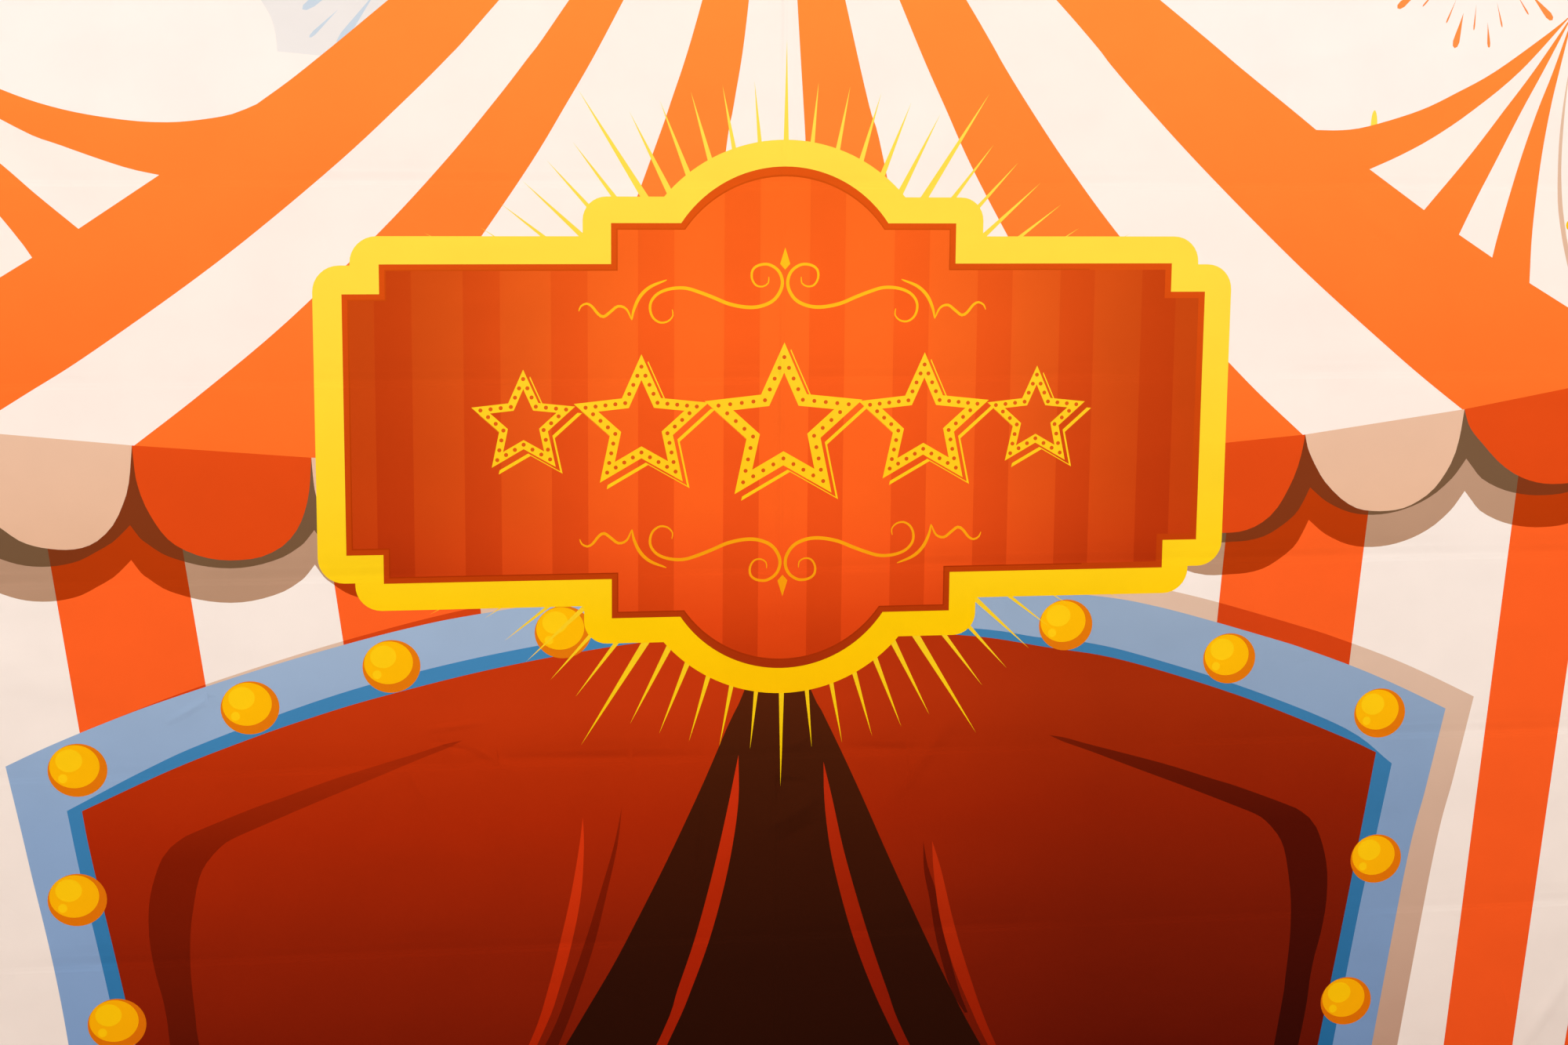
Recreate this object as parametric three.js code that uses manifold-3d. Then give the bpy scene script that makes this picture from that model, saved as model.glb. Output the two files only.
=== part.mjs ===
// Free-standing printed party backdrop: a cloth cover stretched over a tube frame on flat feet.
// Millimetres, +Z up. The printed face looks along -Y. The origin is on the floor, under the
// middle of the frame.
import * as THREE from 'three';
import { mergeVertices } from 'three/addons/utils/BufferGeometryUtils.js';
import Module from 'manifold-3d';

const wasm = await Module();
wasm.setup();

// Driving dimensions
const COVER_WIDTH = 3000;
const COVER_HEIGHT = 2400;
const COVER_CLEARANCE = 20;      // lower edge of the cover above the floor
const COVER_THICK = 3;           // the cloth is about 0.5 thick, this is its stand-in
const SEAT = 0.3;                // gap between touching pieces
const TUBE_RADIUS = 16;
const FLAP = 90;                 // cloth turned over on the back
const INNER_POST_X = 500;
const SPLIT_HEIGHT = 1220;       // where the two lengths of each post meet
const FITTING_ARM = 45;          // length of a fitting's arm from the tubes' crossing
const FOOT_LENGTH = 900;
const FOOT_WIDTH = 120;
const FOOT_THICK = 6;
const FOOT_CORNER = 30;
const OUTER_FOOT_X = 1395;
const SADDLE_LENGTH = 50;
const SADDLE_DEPTH = 24;
const BRACE_RADIUS = 10;
const BRACE_TOP = { y: 42, z: 1090 };
const BRACE_FOOT = { y: 395, z: 32 };
const BOLT_RADIUS = 4;
const ROUND = 24;                // sides of a round section

// Derived places
const backOfFront = -(TUBE_RADIUS + SEAT);
const frontFace = backOfFront - COVER_THICK;
const flapFace = TUBE_RADIUS + SEAT;
const flapBack = flapFace + COVER_THICK;
const coverTop = COVER_CLEARANCE + COVER_HEIGHT;
const postX = COVER_WIDTH / 2 - COVER_THICK - SEAT - TUBE_RADIUS;
const topRailZ = coverTop - COVER_THICK - SEAT - TUBE_RADIUS;
const bottomRailZ = COVER_CLEARANCE + COVER_THICK + SEAT + TUBE_RADIUS;

const group = new THREE.Group();
const aluminium = new THREE.MeshStandardMaterial({ color: 0xb9bcc0, roughness: 0.42, metalness: 0.9 });
const fittingMaterial = new THREE.MeshStandardMaterial({ color: 0x2b2c2e, roughness: 0.55 });
const footMaterial = new THREE.MeshStandardMaterial({ color: 0x3a3c3f, roughness: 0.6, metalness: 0.3 });
const printed = new THREE.MeshStandardMaterial({ color: 0xf07028, roughness: 0.85 });
const plainCloth = new THREE.MeshStandardMaterial({ color: 0xe9e2d8, roughness: 0.9 });

function add(name, geometry, material) {
  const mesh = new THREE.Mesh(geometry, material);
  mesh.name = name;
  group.add(mesh);
  return mesh;
}

// A box from its two corners
function box(x0, x1, y0, y1, z0, z1) {
  const g = new THREE.BoxGeometry(x1 - x0, y1 - y0, z1 - z0);
  g.translate((x0 + x1) / 2, (y0 + y1) / 2, (z0 + z1) / 2);
  return g;
}

// A round bar between two points
function bar(from, to, radius, sides = ROUND) {
  const a = new THREE.Vector3(...from);
  const b = new THREE.Vector3(...to);
  const g = new THREE.CylinderGeometry(radius, radius, a.distanceTo(b), sides);
  const turn = new THREE.Quaternion().setFromUnitVectors(
    new THREE.Vector3(0, 1, 0), b.clone().sub(a).normalize());
  g.applyQuaternion(turn);
  g.translate((a.x + b.x) / 2, (a.y + b.y) / 2, (a.z + b.z) / 2);
  return g;
}

function solid(geometry) {
  const bare = geometry.index ? geometry.clone() : geometry.clone();
  bare.deleteAttribute('normal');
  bare.deleteAttribute('uv');
  const merged = mergeVertices(bare, 1e-4);
  return new wasm.Manifold(new wasm.Mesh({
    numProp: 3,
    vertProperties: new Float32Array(merged.attributes.position.array),
    triVerts: new Uint32Array(merged.index.array),
  }));
}

function shapeOf(manifold) {
  const mesh = manifold.getMesh();
  const g = new THREE.BufferGeometry();
  g.setAttribute('position', new THREE.BufferAttribute(new Float32Array(mesh.vertProperties), 3));
  g.setIndex(new THREE.BufferAttribute(new Uint32Array(mesh.triVerts), 1));
  g.computeVertexNormals();
  return g;
}

function join(geometries) {
  return geometries.map(solid).reduce((all, next) => all.add(next));
}

// The cover: the printed front, and its four edges turned round the tubes onto the back
const half = COVER_WIDTH / 2;
add('cover_front', box(-half, half, frontFace, backOfFront, COVER_CLEARANCE, coverTop), printed);
const turnedFrom = backOfFront + SEAT;
add('cover_top_strip', box(-half, half, turnedFrom, flapBack, coverTop - COVER_THICK, coverTop), printed);
add('cover_top_flap', box(-half, half, flapFace, flapBack,
  coverTop - FLAP, coverTop - COVER_THICK - SEAT), plainCloth);
const slotHalf = SADDLE_LENGTH / 2 + 3;
let bottomStrip = solid(box(-half, half, turnedFrom, flapBack,
  COVER_CLEARANCE, COVER_CLEARANCE + COVER_THICK));
for (const x of [-OUTER_FOOT_X, -INNER_POST_X, INNER_POST_X, OUTER_FOOT_X]) {
  bottomStrip = bottomStrip.subtract(solid(box(x - slotHalf, x + slotHalf,
    -SADDLE_DEPTH / 2 - 2, SADDLE_DEPTH / 2 + 2, COVER_CLEARANCE - 5, COVER_CLEARANCE + 8)));
}
add('cover_bottom_strip', shapeOf(bottomStrip), printed);
add('cover_bottom_flap', box(-half, half, flapFace, flapBack,
  COVER_CLEARANCE + COVER_THICK + SEAT, COVER_CLEARANCE + FLAP), plainCloth);
for (const [side, sign] of [['left', -1], ['right', 1]]) {
  const outer = sign * half;
  const inner = sign * (half - COVER_THICK);
  add(`cover_${side}_strip`, box(Math.min(outer, inner), Math.max(outer, inner),
    turnedFrom, flapFace - SEAT,
    COVER_CLEARANCE + COVER_THICK + SEAT, coverTop - COVER_THICK - SEAT), printed);
  const flapEnd = sign * (half - FLAP);
  add(`cover_${side}_flap`, box(Math.min(outer, flapEnd), Math.max(outer, flapEnd),
    flapFace, flapBack, COVER_CLEARANCE + FLAP + SEAT, coverTop - FLAP - SEAT), plainCloth);
}

// Posts: two lengths each, between the fittings on the bottom rail and on the top rail
const postXs = [['left', -postX], ['inner_left', -INNER_POST_X],
  ['inner_right', INNER_POST_X], ['right', postX]];
for (const [name, x] of postXs) {
  add(`post_${name}_lower`, bar([x, 0, bottomRailZ + FITTING_ARM + SEAT],
    [x, 0, SPLIT_HEIGHT], TUBE_RADIUS), aluminium);
  add(`post_${name}_upper`, bar([x, 0, SPLIT_HEIGHT + SEAT],
    [x, 0, topRailZ - FITTING_ARM - SEAT], TUBE_RADIUS), aluminium);
}

// Rails: three lengths at the top and three at the bottom
const clear = FITTING_ARM + SEAT;
const rails = [['left', -postX + clear, -INNER_POST_X - clear],
  ['middle', -INNER_POST_X + clear, INNER_POST_X - clear],
  ['right', INNER_POST_X + clear, postX - clear]];
for (const [level, z] of [['top', topRailZ], ['bottom', bottomRailZ]]) {
  for (const [name, x0, x1] of rails) {
    add(`rail_${level}_${name}`, bar([x0, 0, z], [x1, 0, z], TUBE_RADIUS), aluminium);
  }
}

// Fittings: an elbow at each corner and a tee where an inner post meets a rail
for (const [level, z, up] of [['top', topRailZ, -1], ['bottom', bottomRailZ, 1]]) {
  for (const [side, x, inward] of [['left', -postX, 1], ['right', postX, -1]]) {
    const ball = new THREE.SphereGeometry(TUBE_RADIUS, ROUND, 12);
    ball.rotateX(Math.PI / 2);
    ball.translate(x, 0, z);
    add(`elbow_${level}_${side}`, shapeOf(join([ball,
      bar([x, 0, z], [x + inward * FITTING_ARM, 0, z], TUBE_RADIUS),
      bar([x, 0, z], [x, 0, z + up * FITTING_ARM], TUBE_RADIUS)])), fittingMaterial);
  }
  for (const [side, x] of [['left', -INNER_POST_X], ['right', INNER_POST_X]]) {
    add(`tee_${level}_${side}`, shapeOf(join([
      bar([x - FITTING_ARM, 0, z], [x + FITTING_ARM, 0, z], TUBE_RADIUS),
      bar([x, 0, z], [x, 0, z + up * FITTING_ARM], TUBE_RADIUS)])), fittingMaterial);
  }
}

// Feet: flat plates with a saddle under the bottom rail, and a fork for the brace on two of them
function plate(x) {
  const w = FOOT_WIDTH / 2;
  const l = FOOT_LENGTH / 2;
  const r = FOOT_CORNER;
  const outline = new THREE.Shape();
  outline.moveTo(-w + r, -l);
  outline.lineTo(w - r, -l);
  outline.absarc(w - r, -l + r, r, -Math.PI / 2, 0, false);
  outline.lineTo(w, l - r);
  outline.absarc(w - r, l - r, r, 0, Math.PI / 2, false);
  outline.lineTo(-w + r, l);
  outline.absarc(-w + r, l - r, r, Math.PI / 2, Math.PI, false);
  outline.lineTo(-w, -l + r);
  outline.absarc(-w + r, -l + r, r, Math.PI, Math.PI * 1.5, false);
  const g = new THREE.ExtrudeGeometry(outline, { depth: FOOT_THICK, bevelEnabled: false, curveSegments: 6 });
  g.translate(x, 0, 0);
  return g;
}

function foot(name, x, withFork) {
  const parts = [plate(x),
    box(x - SADDLE_LENGTH / 2, x + SADDLE_LENGTH / 2, -SADDLE_DEPTH / 2, SADDLE_DEPTH / 2,
      FOOT_THICK - 1, bottomRailZ - 8)];
  if (withFork) {
    const { y, z } = BRACE_FOOT;
    for (const s of [-1, 1]) {
      parts.push(box(x + s * 6 - 2.5, x + s * 6 + 2.5, y - 14, y + 14, FOOT_THICK - 1, z + 12));
    }
    parts.push(bar([x - 14, y, z], [x + 14, y, z], BOLT_RADIUS, 16));
  }
  const cradle = bar([x - SADDLE_LENGTH, 0, bottomRailZ], [x + SADDLE_LENGTH, 0, bottomRailZ],
    TUBE_RADIUS + SEAT);
  add(name, shapeOf(join(parts).subtract(solid(cradle))), footMaterial);
}
foot('foot_left', -OUTER_FOOT_X, false);
foot('foot_inner_left', -INNER_POST_X, true);
foot('foot_inner_right', INNER_POST_X, true);
foot('foot_right', OUTER_FOOT_X, false);

// Braces: a round bar with a flat drilled tongue at each end, from the saddle on an inner post
// down to the fork on its foot
const down = new THREE.Vector3(0, BRACE_FOOT.y - BRACE_TOP.y, BRACE_FOOT.z - BRACE_TOP.z);
const braceLength = down.length();
down.normalize();
for (const [side, x] of [['left', -INNER_POST_X], ['right', INNER_POST_X]]) {
  const at = (t) => [x, BRACE_TOP.y + down.y * t, BRACE_TOP.z + down.z * t];
  const tilt = Math.atan2(down.y, -down.z);
  const tongue = (middle) => {
    const g = new THREE.BoxGeometry(6, 19, 56);
    g.rotateX(tilt);
    g.translate(...at(middle));
    return g;
  };
  let brace = join([bar(at(34), at(braceLength - 34), BRACE_RADIUS), tongue(18),
    tongue(braceLength - 18)]);
  for (const t of [0, braceLength]) {
    const [cx, cy, cz] = at(t);
    brace = brace.subtract(solid(bar([cx - 10, cy, cz], [cx + 10, cy, cz], BOLT_RADIUS + SEAT, 16)));
  }
  add(`brace_${side}`, shapeOf(brace), aluminium);

  const { y, z } = BRACE_TOP;
  const low = z - 16;
  const high = z + 16;
  let saddle = solid(bar([x, 0, low], [x, 0, high], TUBE_RADIUS + 6))
    .subtract(solid(box(x - 40, x + 40, -40, 3, low - 5, high + 5)));
  for (const s of [-1, 1]) {
    saddle = saddle.add(solid(box(x + s * 6 - 2.5, x + s * 6 + 2.5, TUBE_RADIUS + 2, y + 12, low, high)));
  }
  saddle = saddle.add(solid(bar([x - 14, y, z], [x + 14, y, z], BOLT_RADIUS, 16)))
    .subtract(solid(bar([x, 0, low - 10], [x, 0, high + 10], TUBE_RADIUS + SEAT)));
  add(`brace_saddle_${side}`, shapeOf(saddle), fittingMaterial);
}

export default group;
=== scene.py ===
from math import asin, ceil, copysign, cos, hypot, pi, radians, sin, sqrt, tau

import bmesh
import bpy
from mathutils import Matrix, Vector, noise
from mathutils.geometry import delaunay_2d_cdt


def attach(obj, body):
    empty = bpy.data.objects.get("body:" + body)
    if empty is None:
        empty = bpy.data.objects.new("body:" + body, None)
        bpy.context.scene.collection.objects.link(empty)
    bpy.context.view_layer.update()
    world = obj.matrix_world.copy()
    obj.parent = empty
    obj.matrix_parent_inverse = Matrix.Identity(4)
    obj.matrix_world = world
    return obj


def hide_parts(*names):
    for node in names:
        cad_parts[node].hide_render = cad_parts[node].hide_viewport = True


# The backdrop in its own frame, in metres: +X along it, +Y to the back, +Z up, floor at z = 0.
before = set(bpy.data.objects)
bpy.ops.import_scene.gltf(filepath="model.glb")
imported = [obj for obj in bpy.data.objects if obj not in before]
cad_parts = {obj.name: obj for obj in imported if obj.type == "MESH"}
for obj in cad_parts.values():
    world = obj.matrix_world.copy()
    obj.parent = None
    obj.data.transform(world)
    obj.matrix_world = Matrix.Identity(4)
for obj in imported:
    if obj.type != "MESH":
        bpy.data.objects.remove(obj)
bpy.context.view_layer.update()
scene = bpy.context.scene

# Camera.
# It stands about 3.7 m before the print at standing eye height, a little to the left of the
# printed sign, and looks slightly right and down at it through a short portrait lens.
SIGN_HEIGHT = 1.137          # middle of the printed sign above the floor
OUTER = 0.0168               # the print lies this far before the middle of the tubes
DISTANCE, TO_THE_LEFT, ABOVE_SIGN = 3.72, 0.614, 0.463
PITCH, YAW, ROLL = 9.266, -9.399, 0.506


def set_up(name, data):
    """A new object in the scene."""
    o = bpy.data.objects.new(name, data)
    scene.collection.objects.link(o)
    return o


lens = bpy.data.cameras.new("photo_camera")
lens.lens, lens.sensor_width, lens.clip_end = 59.04, 36, 60
scene.camera = set_up("photo_camera", lens)
turn = (Matrix.Rotation(radians(ROLL), 3, "Z") @ Matrix.Rotation(radians(PITCH), 3, "X")
        @ Matrix.Rotation(radians(YAW), 3, "Y"))
right, down, ahead = (Vector((r[0], r[2], -r[1])) for r in turn)
scene.camera.matrix_world = Matrix((right, -down, -ahead)).transposed().to_4x4()
scene.camera.location = (-TO_THE_LEFT, -OUTER - DISTANCE, SIGN_HEIGHT + ABOVE_SIGN)

# Room.
# A pale floor, a white surround, three large soft lamps in front and one behind, as in a
# bright hall. The colours are shown as they are, without a film curve.
view = scene.view_settings
view.view_transform, view.look, view.exposure, view.gamma = "Standard", "None", 0, 1
world = bpy.data.worlds.new("white_hall")
world.use_nodes = True
world.node_tree.nodes["Background"].inputs["Color"].default_value = (1.0, 0.985, 0.965, 1)
world.node_tree.nodes["Background"].inputs["Strength"].default_value = 0.42
scene.world = world
for name, place, aim, width, height, power in (
    ("front_left_lamp", (-3.3, -4.6, 2.7), (-0.2, 0, 1.1), 3.0, 2.4, 134),
    ("front_right_lamp", (3.4, -4.5, 2.6), (0.2, 0, 1.1), 3.0, 2.4, 120),
    ("top_lamp", (0, -3.0, 4.6), (0, 0, 1.2), 4.0, 1.6, 45),
    ("rear_lamp", (1.5, 4.5, 3.6), (0, 0, 1.0), 3.0, 2.0, 190),
):
    lamp = bpy.data.lights.new(name, "AREA")
    lamp.shape, lamp.color = "RECTANGLE", (1.0, 0.975, 0.94)
    lamp.size, lamp.size_y, lamp.energy = width, height, power
    softbox = set_up(name, lamp)
    softbox.location = place
    softbox.rotation_euler = (Vector(aim) - Vector(place)).to_track_quat("-Z", "Y").to_euler()


def linear(code):
    """An sRGB colour such as "FF8830" as linear values, and 1 for alpha."""
    parts = [int(code[i:i + 2], 16) / 255 for i in (0, 2, 4)]
    return [c / 12.92 if c <= 0.04045 else ((c + 0.055) / 1.055) ** 2.4 for c in parts] + [1]


def feed(tree, sockets, values):
    """Gives inputs their values or links, as a list in their order or by their names."""
    for key, value in (values.items() if isinstance(values, dict) else enumerate(values)):
        if isinstance(value, bpy.types.NodeSocket):
            tree.links.new(value, sockets[key])
        else:
            sockets[key].default_value = value


def add(tree, kind, values=(), out=0, **settings):
    """A node with its settings, its input values and its links. It gives one output."""
    node = tree.nodes.new("ShaderNode" + kind)
    for key, value in settings.items():
        setattr(node, key, value)
    feed(tree, node.inputs, values)
    return node.outputs[out]


def set_stops(ramp, stops):
    """Gives a colour ramp its places and colours."""
    elements = ramp.node.color_ramp.elements
    for i, (at, colour) in enumerate(stops):
        stop = elements[i] if i < 2 else elements.new(at)
        stop.position, stop.color = at, colour


def new_material(name):
    """A material, its tree and the inputs of its surface."""
    m = bpy.data.materials.new(name)
    m.use_nodes = True
    return m, m.node_tree, m.node_tree.nodes["Principled BSDF"].inputs


floor_mesh = bpy.data.meshes.new("hall_floor")
floor_mesh.from_pydata([(-25, -25, 0), (25, -25, 0), (25, 25, 0), (-25, 25, 0)], [], [(0, 1, 2, 3)])
floor = set_up("hall_floor", floor_mesh)
# Screed with a pale coat: a little cloudy, and nearly matt
floor_paint, tree, surface = new_material("pale_floor")
tint = add(tree, "ValToRGB", [add(tree, "TexNoise", {"Scale": 6.0, "Detail": 4.0})])
set_stops(tint, [(0, linear("CBC9C6")), (1, linear("D4D2CF"))])
# Painted light: from 3 m to 9 m out the floor is painted paler, standing in for light
# where the lamps don't reach
away = add(tree, "VectorMath", [add(tree, "NewGeometry")], "Value", operation="LENGTH")
away = add(tree, "MapRange", [away, 3.0, 9.0])
paler = add(tree, "Mix", {0: away, 6: tint, 7: linear("F8F7F5")}, 2, data_type="RGBA")
feed(tree, surface, {"Base Color": paler, "Roughness": 0.7})
floor_mesh.materials.append(floor_paint)

# Printed cloth: the inks.
# Polyester cloth of about 0.5 mm, printed by dye transfer, so that each ink soaks the yarns and
# keeps their matt look. An ink is lighter at the top of the print than at its foot: partly the
# print's own shading and partly painted light, as the top is lit more brightly than the foot.
CLOTH_WHITE = 0.86           # share of the light that the brightest cloth gives back
FOLD_PITCH = 0.2845          # the cloth was kept folded to this pitch, and once in the middle
FOLD_HEIGHT = 0.916          # one of the fold lines above the floor
MULTIPLY = {"data_type": "RGBA", "blend_type": "MULTIPLY", "out": 2}
VALLEY = ((0, 1), (0.38, 0.93), (0.46, 0.34), (0.52, 0.10), (0.70, 0.60), (0.92, 0.97), (1, 1))
inks, ghosts = {}, {}        # the materials, and how each ink shows on the cloth's reverse


def cloth_material(name, stops, sideways=None, rightward=None):
    """Stops are heights above the sign's middle and colours in turn. Sideways is the filter over
    the ink at the panel's sides, and rightward the share by which it is darker on the right."""
    m, tree, surface = new_material(name)
    place = add(tree, "NewGeometry")
    axes = add(tree, "SeparateXYZ", [place]).node.outputs
    heights = [at + SIGN_HEIGHT for at in stops[::2]]
    low, high = heights[0], heights[-1] + 0.001
    # Colour by height, lighter towards the top: the print's own shading with painted light from above
    colour = add(tree, "ValToRGB", [add(tree, "MapRange", [axes["Z"], low, high])])
    set_stops(colour, [((at - low) / (high - low), [c * CLOTH_WHITE for c in linear(code)[:3]] + [1])
                       for at, code in zip(heights, stops[1::2])])
    if sideways:
        off = add(tree, "Math", [axes["X"]], operation="ABSOLUTE")
        off = add(tree, "MapRange", [off, 0.1, 0.66], interpolation_type="SMOOTHSTEP")
        colour = add(tree, "Mix", {0: off, 6: colour, 7: linear(sideways)}, **MULTIPLY)
    if rightward:
        off = add(tree, "MapRange", [axes["X"], -0.1, 0.5, 1.0, 1.0 - rightward])
        colour = add(tree, "Mix", {0: 1.0, 6: colour, 7: off}, **MULTIPLY)
    # Warp and weft: two noises drawn out along the yarns, 0.4 mm across
    yarns = []
    for scale in ((2400, 1, 260), (260, 1, 2400)):
        drawn_out = add(tree, "VectorMath", [place, scale], operation="MULTIPLY")
        yarns.append(add(tree, "TexNoise", {"Vector": drawn_out, "Scale": 1.0, "Detail": 1.0}))
    weave = add(tree, "Math", yarns, operation="ADD")
    # Old folds: a shallow valley on each line, sharp below and soft above, deeper in some places
    relief = None
    for axis, at, pitch in (("Z", FOLD_HEIGHT, FOLD_PITCH), ("X", 0.0, 1.5)):
        away = add(tree, "Math", [axes[axis], at], operation="SUBTRACT")
        away = add(tree, "Math", [away, pitch / 2, -pitch / 2], operation="WRAP")
        valley = add(tree, "ValToRGB", [add(tree, "MapRange", [away, -0.04, 0.04])])
        valley.node.color_ramp.interpolation = "EASE"
        set_stops(valley, [(spot, (depth, depth, depth, 1)) for spot, depth in VALLEY])
        worn = add(tree, "TexNoise", {"Vector": place, "Scale": 1.9 + at, "Detail": 1.0})
        worn = add(tree, "MapRange", [worn, 0.36, 0.66, 0.06, 0.75])
        fold = add(tree, "Math", [valley, worn], operation="MULTIPLY")
        relief = fold if relief is None else add(tree, "Math", [relief, fold], operation="ADD")
    # Creases: soft slanted wrinkles, only here and there
    for turned_by, size, where in ((0.7, 11.0, 2.3), (-0.5, 15.0, 3.1)):
        slant = add(tree, "Mapping", {"Vector": place, "Rotation": (0, turned_by, 0),
                                      "Scale": (size * 0.35, size, size)})
        wrinkle = add(tree, "TexNoise", {"Vector": slant, "Scale": 1.0, "Detail": 1.5,
                                         "Roughness": 0.4})
        here = add(tree, "TexNoise", {"Vector": place, "Scale": where})
        here = add(tree, "MapRange", [here, 0.48, 0.68, 0.25, 1.6])
        relief = add(tree, "Math", [wrinkle, here, relief], operation="MULTIPLY_ADD")
    relief = add(tree, "Math", [weave, 0.012, relief], operation="MULTIPLY_ADD")
    bump = add(tree, "Bump", {"Height": relief, "Strength": 1.0, "Distance": 0.0042})
    # The yarns and the printing leave the ink a little uneven
    patches = add(tree, "TexNoise", {"Vector": place, "Scale": 9.0, "Detail": 3.0})
    tone = add(tree, "Math", [weave, 0.05, patches], operation="MULTIPLY_ADD")
    tone = add(tree, "MapRange", [tone, 0.3, 0.8, 0.975, 1.015])
    colour = add(tree, "Mix", {0: 1.0, 6: colour, 7: tone}, **MULTIPLY)
    feed(tree, surface, {"Base Color": colour, "Normal": bump, "Roughness": 0.92,
                         "Specular IOR Level": 0.04})
    inks[name] = m


INKS = [
    # Name, look on the reverse, then heights and colours from low to high
    ("sky_cream", "pale", -0.2, "FCECE3", 0.62, "FFF1EA"),
    ("sky_shade", "pale", 0.5, "EDE6E3", 1.3, "EFE8E5"),
    ("roof_orange", "warm", -0.05, "FF6F26", 0.62, "FF8D39"),
    ("roof_cream", "pale", -0.05, "FDEDE3", 0.6, "FFEFE6"),
    ("wall_orange", "warm", -1.1, "F0521A", -0.2, "FF6223"),
    ("wall_cream", "pale", -1.1, "F0DED3", -0.2, "FAEBE2"),
    ("wall_orange_shade_light", "warm", -1.1, "C5380C", -0.2, "D64311"),
    ("wall_cream_shade_light", "pale", -1.1, "B98F78", -0.35, "DFBCA5"),
    ("wall_orange_shade_mid", "dark", -0.3, "B03604", -0.1, "BC3B05"),
    ("wall_cream_shade_mid", "warm", -0.3, "B58C70", -0.1, "BD957A"),
    ("wall_orange_shade_deep", "dark", -0.3, "7A3310", -0.1, "813716"),
    ("wall_cream_shade_deep", "dark", -0.3, "6F5034", -0.1, "77583E"),
    ("valance_orange", "warm", -0.2, "DE4710", 0.0, "E44D14"),
    ("valance_cream", "pale", -0.2, "E6B696", 0.0, "EABFA3"),
    ("arch_blue", "blue", -1.1, "7896C2", -0.6, "8CA6CA", -0.3, "9FB4D0"),
    ("arch_blue_dark", "blue", -1.1, "22699D", -0.3, "4487B8"),
    ("bulb_rim", "warm", -1.1, "D96A00", -0.3, "E57A08"),
    ("bulb_body", "warm", -1.1, "F7A400", -0.3, "FFBB03"),
    ("bulb_glow", "warm", -1.1, "FBBE00", -0.3, "FFCC10"),
    ("curtain_red", "dark", -1.1, "6A1001", -0.93, "7E1902", -0.75, "932003", -0.6, "AB2703",
     -0.5, "B82F05", -0.42, "C43609"),
    ("curtain_fold_dark", "dark", -1.1, "470B00", -0.93, "5C1101", -0.64, "7F1900", -0.5, "A22804"),
    ("curtain_fold_light", "dark", -1.1, "8A1A02", -0.93, "B22402", -0.64, "D4350B"),
    ("opening_dark", "dark", -1.1, "240800", -0.83, "2E0D02", -0.65, "3B1303", -0.5, "471A05",
     -0.42, "521F07"),
    ("opening_fold", "dark", -1.1, "8C1A02", -0.85, "A82003", -0.72, "B22603", -0.54, "D0310B"),
    ("ray_yellow", "pale", -0.5, "F8C800", 0.55, "FFE153"),
    ("sign_yellow", "pale", -0.42, "FFC200", -0.3, "FFCB03", -0.2, "FFD118", 0.0, "FFD731",
     0.2, "FFDB41", 0.41, "FFDE4A"),
    ("panel_edge", "dark", -0.37, "A32E06", -0.23, "BB3C04", 0.05, "D0480A", 0.37, "E1550F"),
    ("panel_edge_line", "dark", -0.37, "A22D03", -0.22, "A93000", 0.05, "BC4004", 0.3, "D04E0A"),
    ("panel_light", "warm", -0.36, "D6400B", -0.30, "E24610", -0.19, "F9591A", -0.13, "FD601C",
     0.14, "FF6A21", 0.36, "FE691F"),
    ("panel_dark", "warm", -0.34, "C63808", -0.26, "DB440E", -0.15, "EE5116", 0.14, "FA5F1C",
     0.36, "F5611B"),
    ("scroll_gold", "pale", -0.27, "F79A08", 0.26, "FFC01C"),
    ("star_gold", "pale", -0.16, "FFC813", 0.14, "FFD32B"),
    ("star_dot", "warm", -0.16, "D9520F", 0.14, "E5611A"),
    ("burst_orange", "warm", 0.5, "FF8F45", 1.3, "FF9850"),
    ("burst_blue", "blue", 0.5, "C9D5E2", 1.3, "C3D2E4"),
    ("seam_brown", "pale", 0.1, "DDB397", 0.6, "E5C1A8"),
    ("flag_blue", "blue", 1.0, "5E8FC4", 1.3, "6A9ACD"),
    ("cloth_unprinted", "pale", -1.3, "EDE8E0", 1.5, "F4EFE8"),
]
# The filter at the panel's sides, and the share by which an ink is darker on the right
SIDEWAYS = {"panel_light": "C5AD8E", "panel_dark": "C5AD8E"}
RIGHTWARD = {"arch_blue": 0.12, "arch_blue_dark": 0.12, "curtain_red": 0.33, "opening_fold": 0.7,
             "curtain_fold_dark": 0.6, "curtain_fold_light": 0.38}
for name, ghost, *stops in INKS:
    cloth_material("ink_" + name, stops, SIDEWAYS.get(name), RIGHTWARD.get(name))
    ghosts["ink_" + name] = "reverse_" + ghost
for name, low, high in (("pale", "E9E4DC", "EFEAE2"), ("warm", "E6CDBC", "ECD5C5"),
                        ("dark", "CDB4A6", "D4BDB0"), ("blue", "CDD2D8", "D3D8DE")):
    cloth_material("reverse_" + name, (-1.2, low, 1.3, high))

# Printed cloth: the design.
# A striped circus tent under a pale sky, its scalloped valance and striped walls, a blue arch
# with round bulbs before a red curtain, and a yellow-edged sign in the middle. It is drawn as
# closed outlines laid one over the other. They are in metres from the sign's middle, x right
# and y up, and long runs of points are written in millimetres, x and y in turn.
FAR, TOP, FOOT = 1660, 1440, -1270           # a little past the cut cloth, in millimetres
layers = []                  # (ink or shade, outline, its holes, the outlines it keeps inside)


def straight(*mm):
    """Points joined by straight lines, from x and y in turn in millimetres."""
    return [(x / 1000, y / 1000) for x, y in zip(mm[::2], mm[1::2])]


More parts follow.
